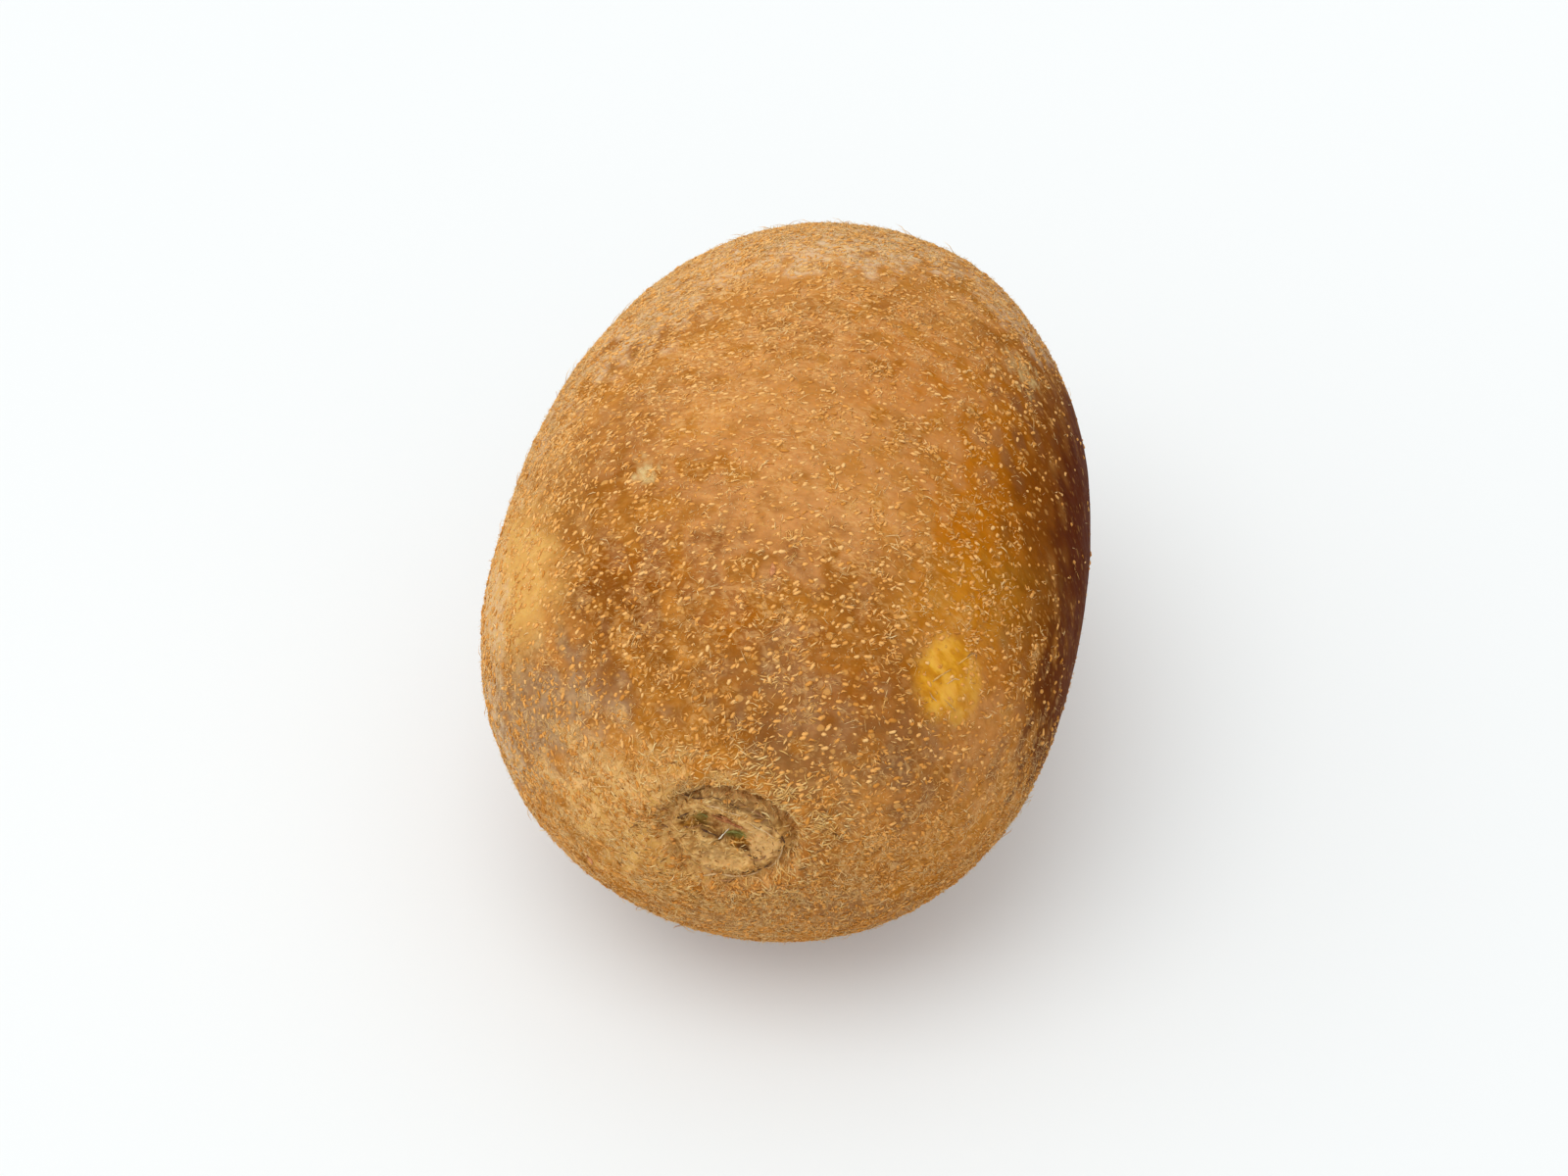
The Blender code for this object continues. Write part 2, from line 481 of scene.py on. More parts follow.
class SkinGrid:
    """The skin's surface as a grid of points, with its normals and the direction round the body."""

    # Where the rough zones are, as distances from the end's middle: start and end, or centre and width
    disc_fall: Pair = (5.4 * MM, 4.4 * MM)
    crease_bell: Pair = (5.2 * MM, 0.9 * MM)
    collar_bell: Pair = (6.6 * MM, 2.6 * MM)
    blossom_bell: Pair = (2.5 * MM, 3.0 * MM)
    blossom_share: float = 0.8

    def __init__(self, form: BodyForm, spacing: GridSpacing) -> None:
        """Lays out the grid and seats it where the solid is.

        Args:
            form: The body's sizes and formula.
            spacing: How finely the grid is drawn.
        """
        self.form = form
        self.turns = np.arange(spacing.segments) * (2 * math.pi / spacing.segments) - math.pi / 2
        self.angles, self.arc_shares = self.ring_places(spacing)
        turn, angle = np.meshgrid(self.turns, self.angles)
        self.local = form.points(turn, angle)
        self.stem_side = self.local[..., 1] < 0
        self.anchor = self.seat()
        self.points = self.local + self.anchor
        self.normals, self.round_ways = self.directions()
        self.points = self.points + self.normals * self.relief()[..., None]
        self.points[..., 2] = np.maximum(self.points[..., 2], 0.0)
        self.normals, self.round_ways = self.directions()

    def ring_places(self, spacing: GridSpacing) -> tuple[np.ndarray, np.ndarray]:
        """The parameter of each ring, spaced along the outline's length and closer at both ends.

        The outline is measured at many samples. Each sample's step counts for its length times a weight,
        which is larger near the ends, and the rings divide the sum evenly.

        Args:
            spacing: The number of rings and the weights.

        Returns:
            The parameter of each ring, and its share of the outline's length.
        """
        angles = np.linspace(0.0, math.pi, spacing.samples)
        reach, along = self.form.profile(angles)
        steps = np.hypot(np.diff(reach * self.form.half_width), np.diff(along))
        arc = np.concatenate([[0.0], np.cumsum(steps)])
        middle = (arc[1:] + arc[:-1]) / 2
        stem_end, blossom_end = spacing.stem_reach, spacing.blossom_reach
        stem = smooth_step(middle, spacing.stem_fade * stem_end, stem_end)
        blossom = smooth_step(arc[-1] - middle, spacing.blossom_fade * blossom_end, blossom_end)
        weight = spacing.body_weight + spacing.stem_weight * stem + spacing.blossom_weight * blossom
        total = np.concatenate([[0.0], np.cumsum(steps * weight)])
        rings = np.interp(np.linspace(0.0, total[-1], spacing.rings), total, arc)
        return np.interp(rings, arc, angles), rings / arc[-1]

    def seat(self) -> np.ndarray:
        """The shift that puts the grid in the solid's box: centred in X and Y, and level with its top.

        Returns:
            The shift, which is also the place of the middle of the widest section.
        """
        low, high = (np.array(corner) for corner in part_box(NODE))
        own_low, own_high = self.local.min(axis=(0, 1)), self.local.max(axis=(0, 1))
        shift = (low + high) / 2 - (own_low + own_high) / 2
        shift[2] = high[2] - own_high[2]
        return shift

    def directions(self) -> tuple[np.ndarray, np.ndarray]:
        """The outward normals and the directions round the body, from differences between neighbours.

        Returns:
            Unit normals, the cross product of the steps along and round, and the unit steps round.
        """
        around = np.roll(self.points, -1, axis=1) - np.roll(self.points, 1, axis=1)
        along = np.gradient(self.points, axis=0)
        normals = unit(np.cross(along, around))
        normals[0] = unit(normals[1].mean(axis=0))
        normals[-1] = unit(normals[-2].mean(axis=0))
        around[0], around[-1] = around[1], around[-2]
        return normals, unit(around)

    def scar_radius(self) -> np.ndarray:
        """The stretched distance from the stem scar's middle on the stem's side, and far away elsewhere."""
        radius = self.form.scar.radius(self.local[..., 0], self.local[..., 2])
        return np.where(self.stem_side, radius, self.form.half_width)

    def blossom_radius(self) -> np.ndarray:
        """The distance from the blossom end's middle on its own side, and far away elsewhere."""
        radius = np.hypot(self.local[..., 0], self.local[..., 2])
        return np.where(self.stem_side, self.form.half_width, radius)

    def zones(self) -> dict[Zone, np.ndarray | float]:
        """The share of each zone at each grid point: bells and steps in the distance from the ends.

        Returns:
            The shares by zone, from 0 to about 1.
        """
        scar, blossom = self.scar_radius(), self.blossom_radius()
        disc = smooth_step(scar, *self.disc_fall)
        crease = bell(scar, *self.crease_bell)
        matted = bell(scar, *self.collar_bell) + self.blossom_share * bell(blossom, *self.blossom_bell)
        return {
            Zone.BODY: 1.0,
            Zone.MATTED: matted,
            Zone.DISC: disc,
            Zone.CREASE: crease,
            Zone.SCAR: disc + crease,
        }

    def relief(self) -> np.ndarray:
        """The skin's own unevenness: broad dents, small ones, and matted roughness by the two ends.

        Returns:
            The height along the normal: a sum of random fields times the shares of their zones.
        """
        zones = self.zones()
        return sum(
            layer.height * zones[layer.zone] * WaveNoise(layer.seed, layer.wavelength).at(self.points)
            for layer in SKIN_ROUGHNESS
        )

    def number_of(self, ring: np.ndarray, segment: np.ndarray) -> np.ndarray:
        """The point number of a place on the grid, whose first and last rings are one point each."""
        segments = len(self.turns)
        inner = 1 + (ring - 1) * segments + segment % segments
        last = 1 + (len(self.angles) - 2) * segments
        return np.where(ring == 0, 0, np.where(ring == len(self.angles) - 1, last, inner))

    def flat(self, values: np.ndarray) -> np.ndarray:
        """The grid's values in the order of the mesh's points, with one for each pole."""
        return np.concatenate([values[:1, 0], values[1:-1].reshape(-1, *values.shape[2:]), values[-1:, 0]])

    def triangles(self) -> tuple[np.ndarray, np.ndarray]:
        """Each cell of the grid as two triangles, and one at the poles.

        Returns:
            The triangles' point numbers, and their corners' places on a map of turn and outline length.
        """
        rings, segments = len(self.angles), len(self.turns)
        ring, segment = np.meshgrid(np.arange(rings - 1), np.arange(segments), indexing="ij")
        corners = ((0, 0), (1, 0), (1, 1), (0, 1))
        numbers = [self.number_of(ring + up, segment + on) for up, on in corners]
        places = [
            np.stack([(segment + on) / segments, self.arc_shares[ring + up]], axis=-1)
            for up, on in corners
        ]
        faces, maps = [], []
        for pick, keep in (((0, 1, 2), ring < rings - 2), ((0, 2, 3), ring > 0)):
            faces.append(np.stack([numbers[k] for k in pick], axis=-1)[keep])
            maps.append(np.stack([places[k] for k in pick], axis=-2)[keep])
        return np.concatenate(faces), np.concatenate(maps).reshape(-1, 2)

    def facing(self, camera: PhotoCamera) -> np.ndarray:
        """The cosine between the skin's normal and the way to the camera, at each grid point."""
        return (unit(camera.place(self.anchor) - self.points) * self.normals).sum(axis=-1)

    def landing(self, camera: PhotoCamera, pixel: Pixel) -> tuple[np.ndarray, np.ndarray]:
        """The place on the skin that shows at a pixel of the photograph.

        The nearest facing grid point is found, and the pixel's ray is cut by the plane through that point
        square to its normal.

        Args:
            camera: The photograph's camera.
            pixel: The pixel's column and row.

        Returns:
            The place and the skin's normal there.
        """
        gap = np.linalg.norm(camera.project(self.points, self.anchor) - np.array(pixel), axis=-1)
        gap = np.where(self.facing(camera) > 0, gap, np.inf)
        nearest = np.unravel_index(np.argmin(gap), gap.shape)
        point, normal = self.points[nearest], self.normals[nearest]
        start, way = camera.place(self.anchor), camera.ray(pixel)
        return start + way * ((point - start) @ normal / (way @ normal)), normal

    def draw(
        self, count: int, weight: np.ndarray, draw: np.random.Generator
    ) -> tuple[np.ndarray, np.ndarray, np.ndarray, np.ndarray]:
        """Draws places on the skin, each cell as likely as its area times its weight.

        Args:
            count: How many places.
            weight: The wanted density at each grid point.
            draw: The seeded source of chance.

        Returns:
            The places, their normals, the directions round the body, and their distances from the scar.
        """
        across = np.roll(self.points, -1, axis=1) - self.points
        along = np.diff(self.points, axis=0)
        area = np.linalg.norm(np.cross(along, across[:-1]), axis=-1)
        chance = (area * weight[:-1]).ravel()
        cell = draw.choice(chance.size, size=count, p=chance / chance.sum())
        ring, segment = np.unravel_index(cell, area.shape)
        up, on = draw.random((2, count, 1))
        beside = (segment + 1) % len(self.turns)

        def read(values: np.ndarray) -> np.ndarray:
            """The values inside the cell, blended from its four corners."""
            low = values[ring, segment] * (1 - on) + values[ring, beside] * on
            high = values[ring + 1, segment] * (1 - on) + values[ring + 1, beside] * on
            return low * (1 - up) + high * up

        radius = read(self.scar_radius()[..., None])[:, 0]
        return read(self.points), unit(read(self.normals)), unit(read(self.round_ways)), radius


class Tint(Enum):
    """What lies over the skin's own colour in patches, some of them painted shade, light and sheen; the value
    names the mesh's attribute.
    """

    HAZE = "tint_haze"
    BLOOM = "tint_bloom"
    AMBER = "tint_amber"
    RUSSET = "tint_russet"
    DUSKY = "tint_dusky"
    FUZZ = "tint_fuzz"
    PALE = "tint_pale"
    GOLD = "tint_gold"
    SCAB = "tint_scab"
    CORK = "tint_cork"
    RUST = "tint_rust"
    OLIVE = "tint_olive"
    UMBER = "tint_umber"


@dataclass(frozen=True)
class Mark:
    """One patch of a tint: an ellipse as the photograph shows it, in its pixels, turned clockwise."""

    tint: Tint
    middle_px: Pixel
    half_px: Pixel
    strength: float
    degrees: float = 0.0
    raggedness: float = 0.16
    softness: float = 0.38

    def share(self, pixels: np.ndarray, ragged: np.ndarray) -> np.ndarray:
        """How strong the patch is: full inside, and fading over a ragged edge.

        Args:
            pixels: The photograph's pixel of each point.
            ragged: A random field of about -1 to 1 that moves the edge.

        Returns:
            The strength at each point.
        """
        turn = math.radians(self.degrees)
        offset = pixels - np.array(self.middle_px)
        along = offset[..., 0] * math.cos(turn) + offset[..., 1] * math.sin(turn)
        across = offset[..., 1] * math.cos(turn) - offset[..., 0] * math.sin(turn)
        reach = np.hypot(along / self.half_px[0], across / self.half_px[1])
        reach = reach + self.raggedness * ragged
        return self.strength * smooth_step(reach, 1 + self.softness, 1 - self.softness)


# Each mark's numbers are its middle, half size, strength, degrees, raggedness and softness
BODY_MARKS = (
    Mark(Tint.HAZE, (630.0, 806.0), (72.0, 46.0), 0.85, -12.0, 0.40),
    # This one paints the broad highlight on the crown, and the next a rim of sheen along the top outline,
    # both over real haze.
    Mark(Tint.HAZE, (640.0, 738.0), (110.0, 62.0), 0.70, -10.0, 0.50),
    Mark(Tint.HAZE, (640.0, 652.0), (125.0, 24.0), 0.45, 0.0, 0.30),
    Mark(Tint.HAZE, (655.0, 1020.0), (110.0, 26.0), 0.20, -8.0, 0.50),
    Mark(Tint.HAZE, (752.0, 946.0), (28.0, 48.0), 0.74, 10.0, 0.40),
    # The thin marks along the top, left and lower left outline, and the one at the top right, paint a pale
    # rim of sheen over the bloom.
    Mark(Tint.BLOOM, (648.0, 640.0), (120.0, 16.0), 0.92, 2.0, 0.40),
    Mark(Tint.BLOOM, (560.0, 680.0), (56.0, 14.0), 0.74, -38.0, 0.40),
    Mark(Tint.BLOOM, (490.0, 742.0), (11.0, 60.0), 0.50, 26.0, 0.40),
    Mark(Tint.BLOOM, (456.0, 870.0), (9.0, 60.0), 0.60, 2.0, 0.25),
    Mark(Tint.BLOOM, (463.0, 948.0), (10.0, 52.0), 0.75, -13.0, 0.25),
    Mark(Tint.BLOOM, (494.0, 1012.0), (11.0, 36.0), 0.72, -45.0, 0.25),
    Mark(Tint.BLOOM, (498.0, 940.0), (46.0, 38.0), 0.26, 15.0, 0.40, 0.60),
    Mark(Tint.BLOOM, (640.0, 905.0), (34.0, 26.0), 0.10, 0.0, 0.40, 0.60),
    Mark(Tint.BLOOM, (772.0, 684.0), (44.0, 8.0), 0.60, 45.0, 0.30),
    Mark(Tint.AMBER, (716.0, 722.0), (34.0, 28.0), 1.00, 20.0, 0.40),
    Mark(Tint.AMBER, (665.0, 690.0), (30.0, 12.0), 0.55, 0.0, 0.60),
    Mark(Tint.AMBER, (764.0, 796.0), (46.0, 96.0), 1.00, 0.0, 0.30),
    Mark(Tint.AMBER, (772.0, 890.0), (28.0, 46.0), 0.70, 8.0, 0.50),
    Mark(Tint.AMBER, (756.0, 936.0), (32.0, 24.0), 0.50, -10.0, 0.40),
    Mark(Tint.AMBER, (556.0, 838.0), (30.0, 14.0), 0.85, 0.0, 0.50),
    Mark(Tint.AMBER, (606.0, 868.0), (16.0, 24.0), 0.85, -15.0, 0.50),
    Mark(Tint.AMBER, (662.0, 905.0), (38.0, 30.0), 0.75, 20.0, 0.50),
    Mark(Tint.AMBER, (590.0, 770.0), (60.0, 14.0), 0.35, -12.0, 0.50),
    # These three darken the right side: painted shade over a russet skin.
    Mark(Tint.RUSSET, (802.0, 800.0), (36.0, 112.0), 0.70, 2.0, 0.20, 0.55),
    Mark(Tint.RUSSET, (816.0, 815.0), (27.0, 130.0), 1.00, 0.0, 0.12, 0.65),
    Mark(Tint.RUSSET, (806.0, 900.0), (24.0, 84.0), 0.92, 12.0, 0.20, 0.55),
    # These four darken the left side and the lower middle; in the lower middle they are painted shade.
    Mark(Tint.RUSSET, (530.0, 800.0), (42.0, 52.0), 0.26, 0.0, 0.40, 0.55),
    Mark(Tint.RUSSET, (546.0, 846.0), (42.0, 28.0), 0.52, 0.0, 0.50, 0.50),
    Mark(Tint.RUSSET, (586.0, 880.0), (88.0, 50.0), 0.36, 10.0, 0.50, 0.60),
    Mark(Tint.RUSSET, (664.0, 930.0), (72.0, 46.0), 0.32, -10.0, 0.50, 0.60),
    Mark(Tint.DUSKY, (500.0, 905.0), (32.0, 20.0), 0.38, 20.0, 0.40, 0.55),
    Mark(Tint.DUSKY, (481.0, 932.0), (36.0, 46.0), 0.82, 0.0, 0.30, 0.60),
    Mark(Tint.DUSKY, (632.0, 905.0), (30.0, 26.0), 0.28, 0.0, 0.40, 0.55),
    Mark(Tint.DUSKY, (470.0, 960.0), (16.0, 40.0), 0.45, -30.0, 0.40),
    # This and the next darken the lower body towards its bottom edge: painted shade.
    Mark(Tint.DUSKY, (650.0, 952.0), (66.0, 26.0), 0.38, 0.0, 0.60, 0.55),
    Mark(Tint.DUSKY, (640.0, 1046.0), (90.0, 16.0), 0.48, 0.0, 0.50),
    Mark(Tint.DUSKY, (703.0, 958.0), (9.0, 7.0), 0.55, 0.0, 0.40),
    Mark(Tint.FUZZ, (538.0, 976.0), (58.0, 36.0), 1.00, 10.0, 0.30),
    Mark(Tint.FUZZ, (590.0, 1036.0), (92.0, 24.0), 0.55, 10.0, 0.30),
    # These three lay pale felt along the top and left outline: partly real down, partly a painted rim of
    # sheen.
    Mark(Tint.FUZZ, (652.0, 638.0), (110.0, 13.0), 0.90, 2.0, 0.40),
    Mark(Tint.FUZZ, (575.0, 672.0), (66.0, 16.0), 0.90, -30.0, 0.40),
    Mark(Tint.FUZZ, (496.0, 748.0), (18.0, 62.0), 0.60, 24.0, 0.40),
    Mark(Tint.FUZZ, (640.0, 700.0), (90.0, 22.0), 0.45, -10.0, 0.70),
    Mark(Tint.FUZZ, (572.0, 862.0), (56.0, 34.0), 0.34, 0.0, 0.60),
    Mark(Tint.FUZZ, (640.0, 885.0), (26.0, 30.0), 0.40, 0.0, 0.60),
    Mark(Tint.FUZZ, (466.0, 915.0), (18.0, 60.0), 0.22, -10.0, 0.40),
    Mark(Tint.FUZZ, (700.0, 1010.0), (70.0, 22.0), 0.55, -20.0, 0.50),
    Mark(Tint.FUZZ, (774.0, 968.0), (16.0, 42.0), 0.35, 18.0, 0.50),
    Mark(Tint.PALE, (467.0, 840.0), (29.0, 48.0), 0.85, 4.0, 0.12, 0.50),
    Mark(Tint.PALE, (486.0, 800.0), (24.0, 38.0), 0.18, 24.0, 0.30, 0.60),
    # This one lightens the skin left of the scar: painted light.
    Mark(Tint.PALE, (548.0, 984.0), (48.0, 34.0), 0.95, 25.0, 0.30, 0.50),
    Mark(Tint.GOLD, (729.0, 900.0), (16.0, 25.0), 0.92, 10.0, 0.07, 0.26),
    Mark(Tint.GOLD, (739.0, 908.0), (12.0, 22.0), 0.60, 8.0, 0.06, 0.20),
    Mark(Tint.GOLD, (742.0, 856.0), (40.0, 30.0), 0.22, -20.0, 0.15, 0.60),
)

FINE_MARKS = (
    Mark(Tint.SCAB, (550.5, 778.0), (5.0, 5.5), 1.00, 0.0, 0.55, 0.30),
    Mark(Tint.SCAB, (778.0, 720.0), (3.5, 9.0), 0.75, -20.0, 0.60),
    Mark(Tint.SCAB, (770.0, 712.0), (3.0, 3.0), 0.50, 0.0, 0.60),
    Mark(Tint.CORK, (619.0, 1001.5), (13.0, 11.5), 0.90, 10.0, 0.10),
    Mark(Tint.CORK, (592.0, 1013.0), (13.0, 6.5), 0.60, 5.0, 0.30),
    # This one lightens the sunken ring's arc: painted light.
    Mark(Tint.CORK, (596.0, 976.0), (42.0, 7.0), 0.50, 14.0, 0.35),
    # These three darken the sunken ring: painted shade in its crease.
    Mark(Tint.UMBER, (604.0, 979.0), (20.0, 3.0), 0.62, 17.0, 0.35),
    Mark(Tint.UMBER, (622.0, 987.0), (12.0, 4.0), 0.48, 32.0, 0.35),
    Mark(Tint.UMBER, (578.0, 973.0), (8.0, 1.7), 0.60, 12.0, 0.35),
    Mark(Tint.RUST, (633.0, 994.0), (5.0, 8.0), 0.55, -25.0, 0.30),
    Mark(Tint.UMBER, (592.0, 996.0), (15.0, 4.0), 0.60, 22.0, 0.30),
    Mark(Tint.UMBER, (571.3, 986.4), (3.6, 2.6), 0.80, -30.0, 0.30),
    Mark(Tint.UMBER, (590.0, 1004.5), (10.0, 4.5), 0.35, 5.0, 0.40),
    Mark(Tint.RUST, (577.5, 989.8), (6.0, 3.8), 0.90, -8.0, 0.25),
    Mark(Tint.OLIVE, (583.6, 986.3), (4.8, 3.0), 0.60, 10.0, 0.30),
    Mark(Tint.RUST, (604.7, 1001.0), (6.0, 3.2), 1.00, 8.0, 0.15),
    Mark(Tint.OLIVE, (604.0, 996.3), (7.0, 2.4), 0.95, 8.0, 0.15),
    Mark(Tint.UMBER, (608.4, 1004.4), (4.2, 2.2), 1.00, 30.0, 0.20),
    Mark(Tint.UMBER, (594.6, 998.2), (2.8, 2.6), 0.90, 0.0, 0.20),
)

# Tints that the photograph doesn't show, on the skin turned away from it: tint, seed, strength
HIDDEN_TINTS = (
    (Tint.HAZE, 31, 0.60),
    (Tint.BLOOM, 36, 0.34),
    (Tint.AMBER, 32, 0.80),
    (Tint.RUSSET, 33, 0.50),
    (Tint.DUSKY, 34, 0.55),
    (Tint.FUZZ, 35, 0.90),
)

# How much barer the skin is under each tint
BARE_SHARES = {Tint.GOLD: 0.97, Tint.PALE: 0.40, Tint.RUSSET: 1.30, Tint.HAZE: 0.36, Tint.AMBER: 0.30}


class SkinTints:
    """The strength of each tint over the skin: the photograph's marks and, out of its sight, chance."""

    # The cosines between the skin's normal and the way to the camera where the marks end and chance begins
    marks_fade: Pair = (-0.50, 0.02)
    chance_rise: Pair = (0.05, -0.45)
    edge_seed: int = 21
    body_edge_length: float = 2.6 * MM
    fine_edge_length: float = 0.6 * MM
    chance_length: float = 17.0 * MM
    chance_fine_length: float = 4.5 * MM
    chance_fine_share: float = 0.6
    chance_fine_seed: int = 20
    chance_band: Pair = (0.0, 2.2)
    # The fuzz round the blossom end, and the dark dried foot in its middle
    fringe: float = 0.9
    fringe_bell: Pair = (4.5 * MM, 3.5 * MM)
    foot: float = 0.85
    foot_fall: Pair = (2.4 * MM, 1.2 * MM)
    foot_wander: float = 0.2 * MM
    foot_length: float = 0.8 * MM
    foot_seed: int = 24
    # How bare the scar's disc is, the most that a tint can bare, and how much the fuzz undoes
    disc_bareness: float = 0.96
    disc_fall: Pair = (5.6 * MM, 4.6 * MM)
    most_bareness: float = 0.98
    fuzz_cover: float = 0.8

    def __init__(self, grid: SkinGrid, camera: PhotoCamera) -> None:
        """Lays the tints on the grid.

        Args:
            grid: The skin's grid.
            camera: The photograph's camera.
        """
        facing = grid.facing(camera)
        pixels = camera.project(grid.points, grid.anchor)
        self.strengths = {tint: np.zeros(facing.shape) for tint in Tint}
        seen = smooth_step(facing, *self.marks_fade)
        groups = ((BODY_MARKS, self.body_edge_length), (FINE_MARKS, self.fine_edge_length))
        for marks, wavelength in groups:
            ragged = WaveNoise(self.edge_seed, wavelength).at(grid.points)
            for mark in marks:
                self.strengthen(mark.tint, mark.share(pixels, ragged) * seen)
        unseen = smooth_step(facing, *self.chance_rise)
        for tint, seed, strength in HIDDEN_TINTS:
            broad = WaveNoise(seed, self.chance_length).at(grid.points)
            fine = WaveNoise(seed + self.chance_fine_seed, self.chance_fine_length).at(grid.points)
            patch = smooth_step(broad + self.chance_fine_share * fine, *self.chance_band)
            self.strengthen(tint, strength * patch * unseen)
        blossom = grid.blossom_radius()
        self.strengthen(Tint.FUZZ, self.fringe * bell(blossom, *self.fringe_bell))
        edge = blossom + self.foot_wander * WaveNoise(self.foot_seed, self.foot_length).at(grid.points)
        self.strengthen(Tint.UMBER, self.foot * smooth_step(edge, *self.foot_fall))

    def strengthen(self, tint: Tint, share: np.ndarray) -> None:
        """Raises a tint's strength to this share wherever it is weaker."""
        self.strengths[tint] = np.maximum(self.strengths[tint], share)

    def bareness(self, grid: SkinGrid) -> np.ndarray:
        """How few hairs there are: the scar's disc and some tints are barer, less so where it is fuzzy.

        Args:
            grid: The skin's grid.

        Returns:
            A number from 0 to 1 at each grid point.
        """
        bare = self.disc_bareness * smooth_step(grid.scar_radius(), *self.disc_fall)
        kept = 1 - self.fuzz_cover * self.strengths[Tint.FUZZ]
        for tint, share in BARE_SHARES.items():
            part = np.minimum(share * self.strengths[tint], self.most_bareness)
            bare = np.maximum(bare, part * kept)
        return bare


@dataclass(frozen=True)
class Grain:
    """A fractal noise, the band of it that counts, the numbers that the band becomes, and its relief.

    Attributes:
        scale: Features per metre.
        detail: How many finer layers are added.
        rough: How strong each finer layer is.
        stretch: A further scale for each axis.
        curl: How much the noise bends itself.
        band: The noise's values where the grading starts and ends.
        ends: What those values become.
        height: The relief that it makes, in metres.
    """

    scale: float
    detail: float = 2.0
    rough: float = 0.5
    stretch: Triple = (1.0, 1.0, 1.0)
    curl: float = 0.0
    band: Pair = (0.0, 1.0)
    ends: Pair = (0.0, 1.0)
    height: float = 0.0


